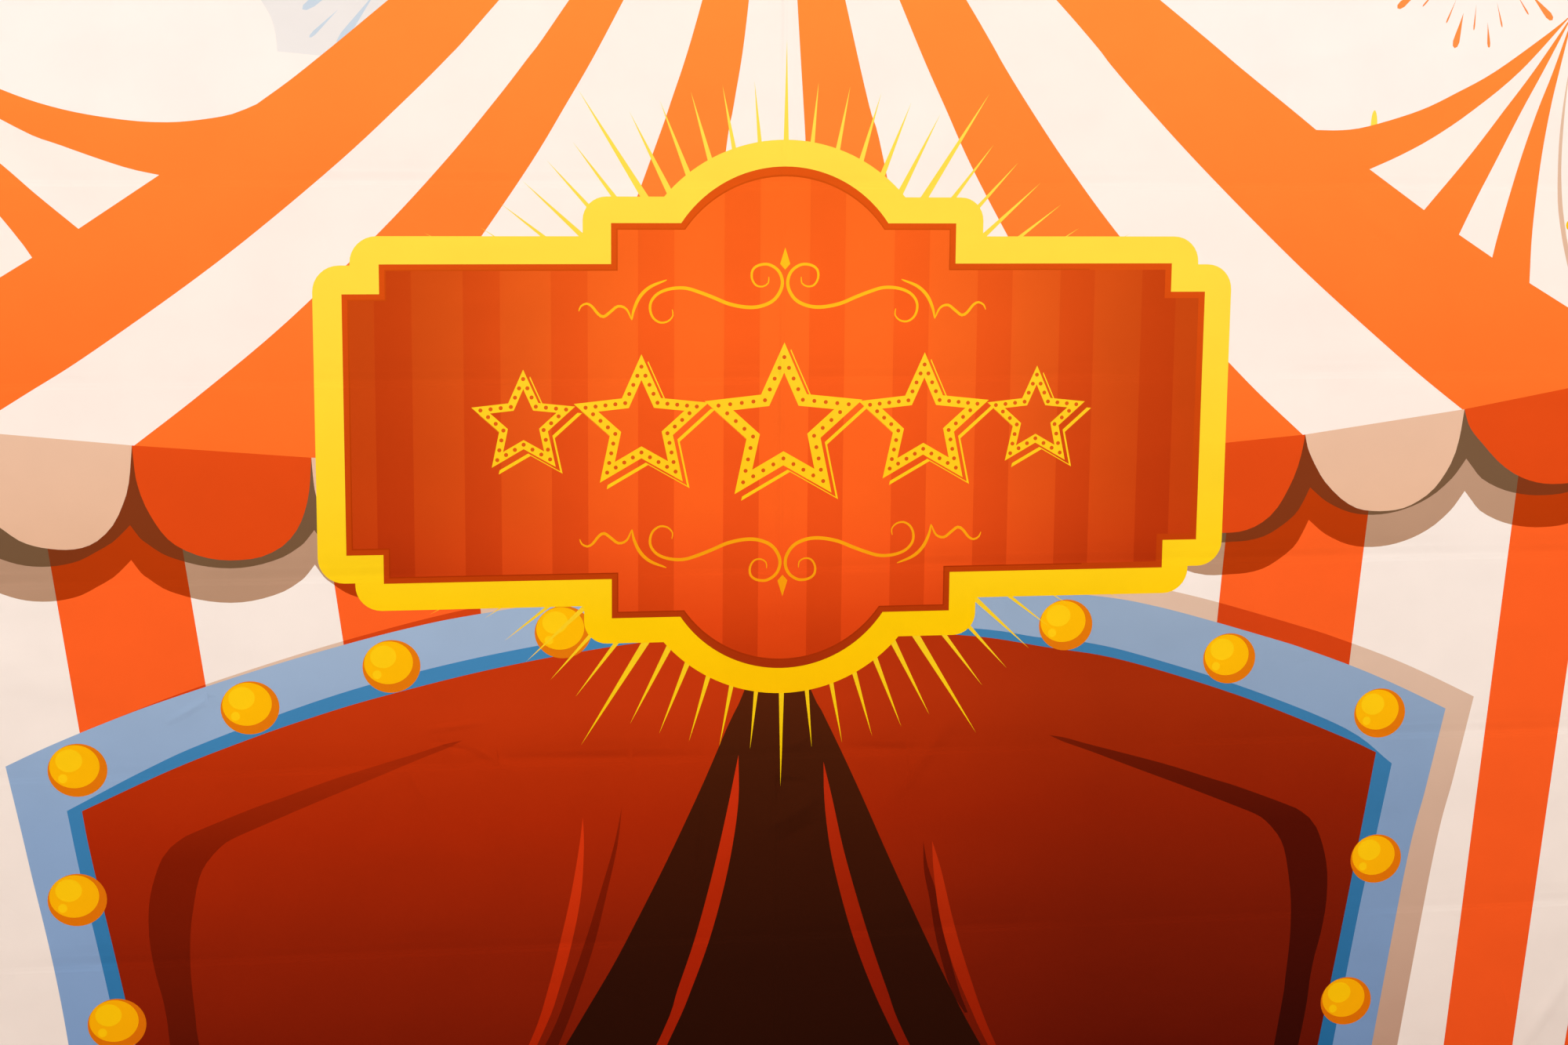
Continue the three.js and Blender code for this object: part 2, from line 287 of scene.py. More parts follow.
def smooth(points, step=0.02):
    """A soft curve through the points."""
    ends = [2 * Vector(points[0]) - Vector(points[1]), 2 * Vector(points[-1]) - Vector(points[-2])]
    p = [ends[0]] + [Vector(q) for q in points] + [ends[1]]
    line = []
    for a, b, c, d in zip(p, p[1:], p[2:], p[3:]):
        count = max(2, ceil((c - b).length / step))
        for i in range(count):
            t = i / count
            line.append(0.5 * ((2 * b) + (c - a) * t + (2 * a - 5 * b + 4 * c - d) * t * t
                               + (3 * b - a - 3 * c + d) * t ** 3))
    return [tuple(q) for q in line] + [tuple(points[-1])]


def curve(*mm):
    """A soft curve through points in millimetres."""
    return smooth(straight(*mm))


def mirrored(points):
    """The same line on the other side, read backwards."""
    return [(-x, y) for x, y in reversed(points)]


def moved(points, dx, dy, sx=1.0, sy=1.0):
    """The points stretched, then moved."""
    return [(x * sx + dx, y * sy + dy) for x, y in points]


def circle(count):
    """Cosine and sine of even steps round a circle."""
    return [(cos(tau * i / count), sin(tau * i / count)) for i in range(count)]


def ellipse(x, y, across, up, count=40):
    return [(x + across * c, y + up * s) for c, s in circle(count)]


def paint(ink, outline, holes=(), inside=()):
    """Lays an outline over those before it. It shows only within all of the inside ones."""
    layers.append((ink, outline, holes, inside))


paint("sky_cream", straight(-FAR,FOOT, FAR,FOOT, FAR,TOP, -FAR,TOP))
# The sky is a little greyer round the left fireworks
paint("sky_shade", curve(-743,598, -730,576, -724,553, -722,528)
      + straight(-665,523, -500,550, -360,760)
      + curve(-380,840, -450,900, -550,920, -650,900, -730,850, -780,780, -790,700, -770,640))

# Fireworks: rings of drops that are thin at their inner end. A drop is where it starts and ends
# and half its width, as shares of the ring's reach
FAT, MID, THIN, NONE = (0.68, 1.0, 0.031), (0.75, 0.975, 0.0145), (0.59, 0.82, 0.0078), None
ORANGE_RING = (FAT, THIN, NONE, THIN, FAT, THIN, MID, THIN, NONE, THIN)
BLUE_RING = ((0.55, 1.0, 0.029), (0.81, 1.085, 0.0135))
DROPS = 38
for x, y, ink, reach, start, ring in ((1.055, 0.718, "burst_orange", 0.169, 50.6, ORANGE_RING),
                                      (-0.517, 0.703, "burst_blue", 0.206, 55.4, BLUE_RING),
                                      (0.52, 1.07, "burst_blue", 0.13, 3, BLUE_RING),
                                      (-1.16, 1.02, "burst_orange", 0.14, 20, ORANGE_RING)):
    for i in range(DROPS):
        drop = ring[i % len(ring)]
        if drop:
            near, far, thick = (reach * share for share in drop)
            a = radians(-90 - start) + tau * i / DROPS
            side = [(near + (far - near) * t, w * thick) for t, w in
                    ((0, 0), (0.3, 0.35), (0.6, 0.75), (0.82, 1), (0.95, 0.7), (1, 0))]
            side += [(r, -w) for r, w in reversed(side[1:-1])]
            paint(ink, [(x + r * cos(a) - w * sin(a), y + r * sin(a) + w * cos(a)) for r, w in side])
paint("ray_yellow", ellipse(0.8958, 0.437, 0.0052, 0.023, 20))

# Peak with its flag. The three peaks are in millimetres
PEAK, LEFT_PEAK, RIGHT_PEAK = (-20, 1100), (-1330, 615), (1207, 609)
paint("bulb_rim", straight(-26,1090, -14,1090, -14,1270, -26,1270))
paint("flag_blue", curve(-14,1262, 60,1270, 120,1235, 210,1225)
      + curve(210,1225, 120,1205, 60,1175, -14,1180))

# Roof: one orange field with the side tents, and the cream stripes that run from each peak
RIGHT_EDGE = curve(*PEAK, 110,965, 320,795, 606,580, 684,520, 765,460, 805,430) \
    + curve(805,430, 846,430, 889,436.5, 967,460, 1025,487, 1086,520, 1171,580, *RIGHT_PEAK)
paint("roof_orange", curve(*PEAK, -160,955, -360,775, -593,580, -666,520, -709,486, -752,455)
      + curve(-752,455, -786,441, -829,433, -875,429, -934,432, -1017,446, -1099,473, -1220,530,
              *LEFT_PEAK)
      + curve(*LEFT_PEAK, -1400,545, -1500,475, -FAR,420) + straight(-FAR,0, 0,-120, FAR,50)
      + curve(FAR,390, 1460,430, 1330,490, *RIGHT_PEAK) + RIGHT_EDGE[::-1])
for peak, stripes in (
    (PEAK, (
        ((-190,860, -433,580, -488,520, -549,460, -635,380, -754,280, -858,200, -1000,100,
          -1079.5,50, -1175,-10),
         (-145,855, -331,580, -375,520, -422,460, -489,380, -582,280, -717,150, -837,50,
          -936,-26.5)),
        ((-112,850, -250,580, -318,460, -400,330, -620,20, -700,-80),
         (-60,850, -131,580, -169.5,460, -198,380, -330,20, -360,-80)),
        ((-34,850, -59,580, -77,460, -90,380, -130,20, -140,-80),
         (-2,850, 16.5,580, 25,460, 30,380, 50,20, 60,-80)),
        ((28,850, 92,580, 122,460, 145,380, 220,20, 240,-80),
         (62,850, 178.5,580, 234.5,460, 300,330, 480,20, 530,-80)),
        ((110,855, 285,580, 322,520, 362,460, 419,380, 497.5,280, 600,165, 714,50, 808,-34),
         (165,860, 432.5,580, 486,520, 542.5,460, 622,380, 728,280, 817.5,200, 938,100,
          1001,50, 1068,0)))),
    (RIGHT_PEAK, (
        ((1125,520, 1051,460, 991,420, 940,393, 892,372),
         (1146.5,520, 1101.5,460, 1071.5,420, 1040,380, 982,311)),
        ((1162,520, 1130.5,460, 1091,380, 1066,330, 1040,274),
         (1178,520, 1156,460, 1131,380, 1105,280, 1096,239)),
        ((1188,520, 1176.5,460, 1166,380, 1159,280, 1159,200),
         (1222,465, 1232,370, 1236,260, 1232,158)),
        ((1238,460, 1268,330, 1290,210, 1300,120), (1252,478, 1310,340, 1355,200, 1378,75)),
        ((1266,500, 1360,360, 1450,220, 1530,110), (1278,520, 1400,410, 1540,310, FAR,240)))),
    (LEFT_PEAK, (
        ((-1210,500, -1078,420, -1019,396, -936,367, -888,356),
         (-1210,463, -1103,372, -1057,330, -1000,281)),
        ((-1210,435, -1091,280, -1064,241), (-1235,405, -1165,270, -1132,199)),
        ((-1262,430, -1215,270, -1197,161), (-1292,420, -1277,270, -1272,118)),
        ((-1350,450, -1345,270, -1345,75), (-1372,460, -1402,300, -1430,45)),
        ((-1395,500, -1470,360, -1520,200), (-1420,520, -1540,420, -FAR,340)))),
):
    for one, other in stripes:
        paint("roof_cream", curve(*peak, *one) + curve(*peak, *other)[::-1])
# A seam line on the right side tent, and a small yellow dot beside it
paint("seam_brown", curve(1207,550, 1197.5,470, 1194.2,410, 1196,345, 1199.6,309, 1206.9,273,
                          1213,249, 1226,205)
      + curve(1226,205, 1220.5,249, 1214.6,273, 1207.3,309, 1202.6,345, 1199.7,392, 1201,470,
              1207,550))
paint("bulb_glow", ellipse(1.221, 0.2885, 0.0078, 0.0085, 16))

# Walls: cream with orange stripes that lean in towards the foot
JOINTS = straight(-1690,72, -1434,36, -1185,1, -937,-24.5, -687,-45.5, -438,-57, -189,-64, 60,-66,
                  310,-62, 559,-52, 808,-30.2, 1064,6, 1314,52, 1560,102, 1810,155)
WALL = JOINTS + straight(1810,FOOT, -1690,FOOT)
LOW, HIGH = FOOT / 1000, 0.06
paint("wall_cream", WALL)
for x0, lean0, x1, lean1 in (
    (-1.50, 0.075, -1.40, 0.092), (-1.29, 0.0, -1.195, 0.0), (-1.0738, -0.13, -0.888, -0.135),
    (-0.6815, -0.13, -0.47, -0.10), (-0.24, -0.03, -0.02, 0.0), (0.21, 0.03, 0.45, 0.05),
    (0.697, 0.07, 0.924, 0.084), (1.162, 0.080, 1.290, 0.09), (1.40, 0.11, 1.47, 0.112),
):
    paint("wall_orange", [(x + lean * (y + 0.05), y) for x, lean, y in
                          ((x0, lean0, HIGH), (x0, lean0, LOW), (x1, lean1, LOW), (x1, lean1, HIGH))],
          inside=[WALL])

# Valance: scallops in turn orange and cream, and the two rows of shadow that they throw. A
# shape is its depth in millimetres and its line from joint to joint, in thousandths of the
# width and of the depth
SCALLOPS = {
    "far left": (158.8, 30,330, 90,580, 170,750, 270,860, 355,947, 440,987, 524,1000, 613,998,
                 702,969, 790,894, 879,741, 940,540, 976,344),
    "middle": (157.5, 10,220, 24,360, 64,550, 145,770, 225,890, 345,970, 466,1000, 586,990,
               707,947, 827,837, 908,682, 955,510, 985,300),
    "right": (140.5, 20,150, 50,280, 125,534, 280,830, 400,960, 546,997, 647,986, 747,920,
              843,771, 936,470, 980,220),
    "next right": (140.5, 20,150, 50,280, 86,405, 137,559, 242,774, 344,910, 441,969, 543,997,
                   641,995, 738,939, 836,823, 930,584, 975,330),
    "far right": (149.5, 30,160, 70,275, 128,397, 236,618, 344,781, 448,889, 552,959, 660,997,
                  740,1000, 820,940, 890,780, 950,480)}
SWAGS = {
    "far left": (70.3, 50,300, 120,580, 200,790, 281,899, 369,976, 454,1000, 542,979, 627,916,
                 715,805, 803,613, 896,391, 960,160),
    "middle": (59, 50,310, 90,450, 167,680, 244,810, 360,940, 477,1000, 593,985, 709,880,
               826,690, 903,470, 942,330, 980,120),
    "right": (71.6, 90,450, 200,750, 350,940, 511,987, 608,1000, 712,951, 805,807, 905,567,
              955,320),
    "next right": (63.5, 55,225, 109,425, 213,700, 312,874, 416,969, 519,1000, 619,967, 718,874,
                   818,700, 913,422, 960,210),
    "far right": (88.5, 50,200, 108,415, 217,640, 321,790, 430,900, 534,965, 639,1000, 720,985,
                  800,900, 880,700, 950,360)}
PLACES = ["far left"] * 3 + ["middle"] * 6 + ["right", "next right"] + ["far right"] * 3
SWAG_ENDS = straight(-1697,-45, -1441,-80, -1192,-115, -943,-139, -685,-151, -434,-159, -183,-163,
                     68,-161, 320,-151, 571,-136, 819.5,-112, 1071,-71, 1320,-22, 1565,30, 1815,85)


def drops(ends, shapes):
    """Round drops between the ends, each of its own shape."""
    line = []
    for (x0, y0), (x1, y1), (depth, *shape) in zip(ends, ends[1:], shapes):
        line += smooth([(x0 + (x1 - x0) * s, y0 + (y1 - y0) * s - depth / 1000 * d)
                        for s, d in straight(0,0, *shape, 1000,0)])
    return line


for shade, lower in (("mid", 0.0505), ("deep", 0.0)):
    paint("shade_" + shade, JOINTS[::-1] + drops(moved(SWAG_ENDS, 0, -lower),
                                                 [SWAGS[name] for name in PLACES]))
for i, name in enumerate(PLACES):
    paint("valance_orange" if i % 2 else "valance_cream", drops(JOINTS[i:i + 2], [SCALLOPS[name]]))

# Arch: a blue band with a darker inner edge, its shadow on the wall, and the curtain behind
OUTER_ARCH = curve(-1020,FOOT + 20, -1060,-870, -1101,-633, -1128,-487) \
    + curve(-1128,-487, -1069,-460, -995,-430, -913,-400, -786,-360, -680,-330, -559,-300,
            -450,-280, -200,-247, 0,-238, 220,-246, 462,-271, 587,-294, 770,-348, 835,-370,
            914,-400, 982,-430, 1058,-467) \
    + curve(1058,-467, 1032,-593, 1000,-750, 930,FOOT + 20)
MIDDLE_ARCH = curve(-935,FOOT + 10, -985,-900, -1028,-660, -1045,-556) \
    + curve(-1045,-556, -936,-500, -845.5,-460, -674,-400, -522.5,-360, -367,-330, -200,-308,
            0,-298, 288,-319, 395,-336, 471,-346, 558,-368, 730,-425, 894,-494, 973,-553) \
    + curve(973,-553, 953,-666, 925,-820, 860,FOOT + 10)
INNER_ARCH = curve(-905,FOOT, -963,-896, -1012,-634, -1024,-557) \
    + curve(-1024,-557, -897,-500, -791,-460, -700,-430, -594,-400, -416,-360, -215,-329, 0,-315,
            269,-329, 410,-352, 533,-376, 720,-437, 889,-507, 946,-534) \
    + curve(946,-534, 911,-763, 830,FOOT)
paint("shade_light", moved(OUTER_ARCH, 0.046, 0.018))
paint("arch_blue", OUTER_ARCH)
paint("arch_blue_dark", MIDDLE_ARCH)
paint("curtain_red", INNER_ARCH)

# Curtain: one wide shadow and thin folds on each side, and the dark opening between the halves
WIDE_SHADOW = curve(-476,-469.5, -500,-474, -540,-486, -660,-520.5, -741,-548, -781.5,-561.5,
                    -861,-592.5, -888,-606, -913,-632, -932,-690, -935,-750, -928,-804.5,
                    -919.5,-841, -913.5,-877.5, -907,-940, -880,-1100, -860,FOOT) \
    + curve(-800,FOOT, -840,-1100, -868,-920, -872,-879.5, -877,-810, -876,-750, -869,-700,
            -861,-664, -849.5,-641, -829,-618, -811.5,-606.5, -781.5,-593.5, -700.5,-560,
            -620,-528, -540,-496, -500,-481, -476,-469.5)[:-1]
paint("curtain_fold_dark", WIDE_SHADOW, inside=[INNER_ARCH])
paint("curtain_fold_dark", moved(mirrored(WIDE_SHADOW), -0.06, -0.02), inside=[INNER_ARCH])


def fold(ink, down, up):
    """A fold that is pointed at its top, from its edge down and its edge up again."""
    paint(ink, curve(*down) + curve(*up, *down[:2]))


fold("curtain_fold_dark", (-240,-577, -247.5,-640.5, -263.5,-713.5, -281,-786, -303.5,-858.5,
                           -330.5,-931.5, -400,-1090, -450,-1190),
     (-480,-1190, -420,-1060, -349.5,-931.5, -321,-858.5, -296,-786, -274,-713.5, -253,-640.5))
fold("curtain_fold_light", (-299,-593, -297.5,-638.5, -302,-711, -315.5,-784, -335,-857,
                            -362,-930, -460,-1130),
     (-500,-1170, -430,-1040, -375.5,-930, -352,-857, -333.5,-784, -317,-711, -304.5,-638.5))
fold("curtain_fold_dark", (222,-650, 224,-696.5, 233.5,-742, 246,-810, 269,-887, 292.5,-928),
     (297.5,-928, 281.5,-887, 260.5,-810, 244.8,-734.5, 230,-690))
fold("curtain_fold_light", (236,-650, 239,-697, 250.5,-773, 272,-849.5, 304.5,-927, 322.5,-966,
                            390,-1100),
     (410,-1110, 336,-966, 293,-849.5, 270,-773, 251,-697))
paint("opening_dark", curve(-5,-270, -57,-408, -69,-435, -83,-464.5, -113,-536, -145.5,-608,
                            -179.5,-680, -215.5,-752, -253,-824, -295.5,-896.5, -326,-948,
                            -430,-1120, -530,FOOT)
      + curve(-5,-270, 45,-408, 61,-439, 94,-507, 128,-581, 161.5,-657, 196,-733, 231.5,-809.5,
              269,-887, 310,-965.5, 400,-1120, 500,FOOT)[::-1])
fold("opening_fold", (-64.5,-505, -64,-574, -73,-647, -88,-720, -108,-793.5, -134,-867,
                      -164.5,-940, -275,-1170),
     (-295,-1170, -181,-940, -155.5,-867, -131,-793.5, -111,-720, -93.5,-647, -78,-574))
fold("opening_fold", (65.5,-520, 67.5,-579, 77,-654, 94.5,-729, 117,-805, 146,-881.5,
                      181.5,-959, 270,-1140),
     (292,-1140, 198,-959, 168,-881.5, 141.5,-805, 118,-729, 97,-654, 80,-579))

# Bulbs on the arch and its legs: a rim, the glass, a large and a small glow
rx, ry = 0.042, 0.0395
for x, y in straight(-1028,-496, -782,-411, -578,-355, -327,-310, 438,-318, 700,-377, 949,-471,
                     954,-707, 915,-940, 875,-1170, -1035,-690, -985,-882, -945,-1090):
    paint("bulb_rim", ellipse(x, y, rx, ry))
    paint("bulb_body", ellipse(x - 0.10 * rx, y + 0.14 * ry, rx * 0.84, ry * 0.81))
    paint("bulb_glow", ellipse(x - 0.28 * rx, y + 0.37 * ry, rx * 0.45, ry * 0.43, 28))
    paint("bulb_glow", ellipse(x - 0.50 * rx, y - 0.30 * ry, rx * 0.155, ry * 0.17, 14))

# Rays behind the sign: one for each 5 degrees, on a ring that is then drawn out sideways. Each
# sixth is longer
for i in range(-12, 13):
    reach, wide = ((0.5553, 0.0072 if i == 0 else 0.0083) if i % 6 == 0 else (0.4972, 0.0076))
    tip = Vector((1.086 * reach * sin(radians(5 * i)), reach * cos(radians(5 * i))))
    start, across = tip.normalized() * 0.28, tip.orthogonal().normalized() * wide
    for way in (1, -1):
        paint("ray_yellow", moved((start + across, tip, start - across), 0, -0.0017, 1, way))

# Sign: a yellow border round a striped panel whose corners step in, arched above and below
PANEL_STEPS = straight(640,188.5, 587,188.5, 587,231, 255,231, 255,290)
BORDER_STEPS = [(0.681, 0.2295, 0.038), (0.628, 0.2295, 0), (0.628, 0.271, 0.038),
                (0.296, 0.271, 0), (0.296, 0.328, 0.034)]      # with each corner's radius


def arc(x, y, top, count=18):
    """The right half of a round top through (x, y) and (0, top), from the right to the middle."""
    rise = top - y
    radius = (x * x + rise * rise) / (2 * rise)
    turns = [asin(x / radius) * (1 - i / count) for i in range(count + 1)]
    return [(radius * sin(t), top - radius + radius * cos(t)) for t in turns]


def all_round(quarter):
    """Four mirrored quarters, from the right side over the top to the left side and back."""
    top = quarter + mirrored(quarter)[1:]
    return top + [(x, -y - 0.001) for x, y in reversed(top)]


def panel(inset):
    return all_round([(x - inset, y - inset) for x, y in PANEL_STEPS]
                     + arc(0.153 - 0.6 * inset, 0.290 - inset, 0.372 - 1.5 * inset))


border = []
for x, y, r in BORDER_STEPS:
    turns = [radians(90 * j / 8) for j in range(9)] if r else [0]
    border += [(x - r + r * cos(t), y - r + r * sin(t)) for t in turns]
paint("sign_yellow", all_round(border + arc(0.178, 0.328, 0.4105)))
paint("panel_edge", panel(0.0))
paint("panel_edge_line", panel(0.0078), inside=[straight(-700,-400, 460,-400, 460,400, -700,400)])
inner_panel = panel(0.0096)
paint("panel_light", inner_panel)
for k in range(-5, 5):
    x = (k + 0.5) * 0.1263 - 0.0265
    paint("panel_dark", [(x, -0.4), (x + 0.053, -0.4), (x + 0.053, 0.4), (x, 0.4)],
          inside=[inner_panel])

# Ornament on the panel: scrolls that meet under a small diamond, above and below
SCROLL = straight(-24,212, -25,203, -33,198, -43,200, -49,210, -48,222, -39,229, -24,230, -10,221,
                  -4,206, -7,191, -18,177, -37,169, -58,168, -83,173, -105,182, -126,190,
                  -147,196, -169,195, -187,188, -197,176, -198,163, -193,152, -183,146, -172,148,
                  -165,156, -166,165)
WAVE = straight(-302,163, -299,170, -291,174, -283,170, -274,159, -266,155, -256,162, -245,170,
                -233,166, -225,150)
BRANCH = straight(-225,150, -222,165, -213,184, -198,198, -174,208)


def stroke(centre, thick, thin=0.0006):
    """A pen stroke: full in the middle of its length and thin at both ends."""
    line = smooth(centre, 0.005)
    last = len(line) - 1
    one, other = [], []
    for i, p in enumerate(line):
        ahead = Vector(line[min(i + 1, last)]) - Vector(line[max(i - 1, 0)])
        half = thin + (thick / 2 - thin) * sin(pi * i / last) ** 0.6
        side = ahead.orthogonal().normalized() * half
        one.append(tuple(Vector(p) + side))
        other.append(tuple(Vector(p) - side))
    return one + other[::-1]


for flip, down in ((1, 0), (-1, -0.0085)):
    for line, thick in ((SCROLL, 0.0052), (WAVE, 0.0042), (BRANCH, 0.0050)):
        body = stroke(line, thick)
        for out in (body, mirrored(body)):
            paint("scroll_gold", moved(out, 0, down, 1, flip))
    paint("scroll_gold", moved(straight(0,255, -7.5,231, 0,222.5, 7.5,231), 0, down, 1, flip))


# Row of stars on the panel, each a lit band with dots and a thin line below and right of it
def star(x, y, radius):
    """A star of five points, whose inner corners are at 0.47 of its radius."""
    return [(x + r * s, y + r * c) for r, (c, s) in zip([radius, radius * 0.47] * 5, circle(10))]


for x, y, radius in ((0, -0.008, 0.124), (-0.211, -0.004, 0.104), (0.211, -0.004, 0.104),
                     (-0.383, 0.0, 0.079), (0.383, 0.0, 0.079)):
    hole = star(x, y, radius * 0.64)
    paint("star_gold", star(x + 0.010, y - 0.010, radius),
          holes=[star(x + 0.0065, y - 0.0065, radius), hole])
    paint("star_gold", star(x, y, radius), holes=[hole])
    band = [Vector(p) for p in star(x, y, radius * 0.825)]
    for a, b in zip(band, band[1:] + band[:1]):
        count = max(2, round((b - a).length / 0.0155))
        for i in range(count):
            paint("star_dot", ellipse(*a.lerp(b, i / count), 0.0031, 0.0031, 8))

# Printed cloth: cut, print and stretch.
# The cloth runs from flap to flap round all four edges of the frame, with its corners cut to a
# mitre. The whole cut is split into small faces along every outline of the design, then bent
# round the tubes. The front swells by up to two millimetres between them, and by more in its
# creases.
CORE_X, INNER_X = 1.4807, 0.5                 # the outer and the inner posts' middle
CORE_LOW, CORE_HIGH = 0.0393, 2.4007          # the rails' middle
FEET_X = (-1.395, -INNER_X, INNER_X, 1.395)
TUBE = 0.016                 # radius of the tubes
CLOTH, FLAP, MITRE = 0.0005, 0.088, 0.0006    # the cloth, its flap, and half the mitre's gap
GRID = 0.032                 # about the longest side of the small faces
TURN = pi * OUTER            # cloth needed to pass half round a tube
HEM = 0.016                  # the flap's edge is folded in by this much and sewn down
BLEED = TURN + 0.022         # the print goes this far past the tubes' middle
OPEN_HALF, OPEN_LOW, OPEN_HIGH = 0.028, CORE_LOW - 0.0428, CORE_LOW - 0.0099    # for a foot
FREE = 0.12                  # the front hangs quite free from this far inside its edges
SAME = 2e-4                  # points of an outline that are closer than this count as one
points, loops, bends = [], [], []             # what the triangulation starts from


def round_box(x0, z0, x1, z1, radii=(0, 0, 0, 0), steps=8):
    """A rectangle with a radius for each corner, from the lower left one anticlockwise."""
    line = []
    for (x, z, sx, sz, start), r in zip(((x0, z0, 1, 1, 180), (x1, z0, -1, 1, 270),
                                         (x1, z1, -1, -1, 0), (x0, z1, 1, -1, 90)), radii):
        for i in range(steps + 1 if r else 1):
            a = radians(start + 90 * i / steps)
            line.append((x + sx * r + r * cos(a), z + sz * r + r * sin(a)) if r else (x, z))
    return line


def cloth_lines(low, high):
    """Where the grid's lines cross the cut, closer together on the turns and the flaps."""
    count = round((high - low) / GRID)
    past = [TURN * i / 10 for i in range(1, 11)] \
        + [TURN + t for t in (0.022, 0.046, FLAP - HEM - 0.001, FLAP - HEM + 0.001, FLAP)]
    return [low - p for p in reversed(past)] \
        + [low + (high - low) * i / count for i in range(count + 1)] + [high + p for p in past]


def outline_loop(outline):
    """Adds an outline, in cloth measure, and gives its number. It is turned anticlockwise, as
    the triangulation asks, and no step of it is longer than the grid's."""
    clean = []
    for p in map(Vector, outline):
        if not clean or (p - clean[-1]).length > SAME:
            clean.append(p)
    if (clean[0] - clean[-1]).length <= SAME:
        clean.pop()
    if sum(a.cross(b) for a, b in zip(clean, clean[1:] + clean[:1])) < 0:
        clean.reverse()
    start = len(points)
    for a, b in zip(clean, clean[1:] + clean[:1]):
        parts = max(1, round((b - a).length / GRID))
        points.extend(a.lerp(b, i / parts) for i in range(parts))
    loops.append(list(range(start, len(points))))
    return len(loops) - 1


corner = [(CORE_X + TURN + FLAP, CORE_HIGH - FLAP - MITRE), (CORE_X + TURN, CORE_HIGH - MITRE)]
for i in range(7):
    t = radians(90 * i / 6)
    corner.append((CORE_X + TURN * 0.92 * cos(t), CORE_HIGH + TURN * 0.92 * sin(t)))
corner += [(CORE_X - MITRE, CORE_HIGH + TURN), (CORE_X - FLAP - MITRE, CORE_HIGH + TURN + FLAP)]
upper = corner + mirrored(corner)
cut_loop = outline_loop(upper + [(x, CORE_LOW + CORE_HIGH - z) for x, z in reversed(upper)])
bleed_loop = outline_loop(round_box(-CORE_X - BLEED, CORE_LOW - BLEED,
                                    CORE_X + BLEED, CORE_HIGH + BLEED))
# Below the bottom rail the cloth has an opening for each foot's saddle
openings = [outline_loop(round_box(x - OPEN_HALF, OPEN_LOW, x + OPEN_HALF, OPEN_HIGH))
            for x in FEET_X]
# Soft creases where the cloth was gripped and hung, in millimetres: both ends from the sign's
# middle, half the width, and how far each stands out of the print or sinks into it
creases = []
for *ends, half, rise in (
    (-470,-496.5, -125,-507.5, 14, -2.2), (100,-497, 200,-507, 14, -2.7),
    (262,-455, 165,-590, 22, 4.3), (-10,-549, 35,-549, 10, -2.9), (-3,-530, -3,-578, 8, -2.2),
    (-20,-620, 55,-575, 18, 5.8), (0,-645, 60,-610, 14, -4.0), (0,-500, 55,-475, 14, 2.9),
    (-530,-452, -450,-443, 9, 2.0), (-520,-470, -465,-487, 8, -2.0),
    (-460,-480, -410,-512, 11, 2.0), (-560,-500, -530,-565, 13, 2.3),
    (-114,-560, -128,-700, 7, -1.6), (-900,-430, -840,-395, 10, 2.2),
    (860,330, 980,240, 20, 2.5), (-1300,860, -1160,970, 24, 4.0), (1280,920, 1120,1040, 24, 4.0),
    (-1330,-920, -1180,-1040, 22, 3.6), (1300,-900, 1200,-1060, 22, 3.6),
):
    half, rise = half / 1000, rise / 1000
    a, b = map(Vector, moved(straight(*ends), 0, SIGN_HEIGHT))
    way = (b - a).normalized()
    steps = round((b - a).length / (half * 0.7))
    points.extend(a.lerp(b, i / steps) + way.orthogonal() * half * k
                  for i in range(steps + 1) for k in (-1, -0.6, -0.25, 0, 0.25, 0.6, 1))
    creases.append((*map(Vector, straight(*ends)), half, rise))
known, rules = {}, []


def number(shape):
    """The number of an outline of the design. An outline that comes again keeps its number."""
    key = tuple((round(x, 6), round(y, 6)) for x, y in shape)
    if key not in known:
        known[key] = outline_loop(moved(shape, 0, SIGN_HEIGHT))
    return known[key]


for ink, outline, holes, inside in layers:
    rules.append((ink, number(outline), set(map(number, holes)), set(map(number, inside))))
columns, rows = cloth_lines(-CORE_X, CORE_X), cloth_lines(CORE_LOW, CORE_HIGH)
for i, x in enumerate(columns):
    for j, z in enumerate(rows):
        at = len(points)
        points.append(Vector((x, z)))
        if j + 1 < len(rows) and abs(x) > CORE_X - 1e-6:
            bends.append((at, at + 1))
        if i + 1 < len(columns) and not CORE_LOW + 1e-6 < z < CORE_HIGH - 1e-6:
            bends.append((at, at + len(rows)))
flat, _, faces, _, _, parents = delaunay_2d_cdt(points, bends, loops, 0, 1e-6)


def on_face(x, z):
    """The nearest point of the cloth's flat face."""
    return max(-CORE_X, min(CORE_X, x)), max(CORE_LOW, min(CORE_HIGH, z))


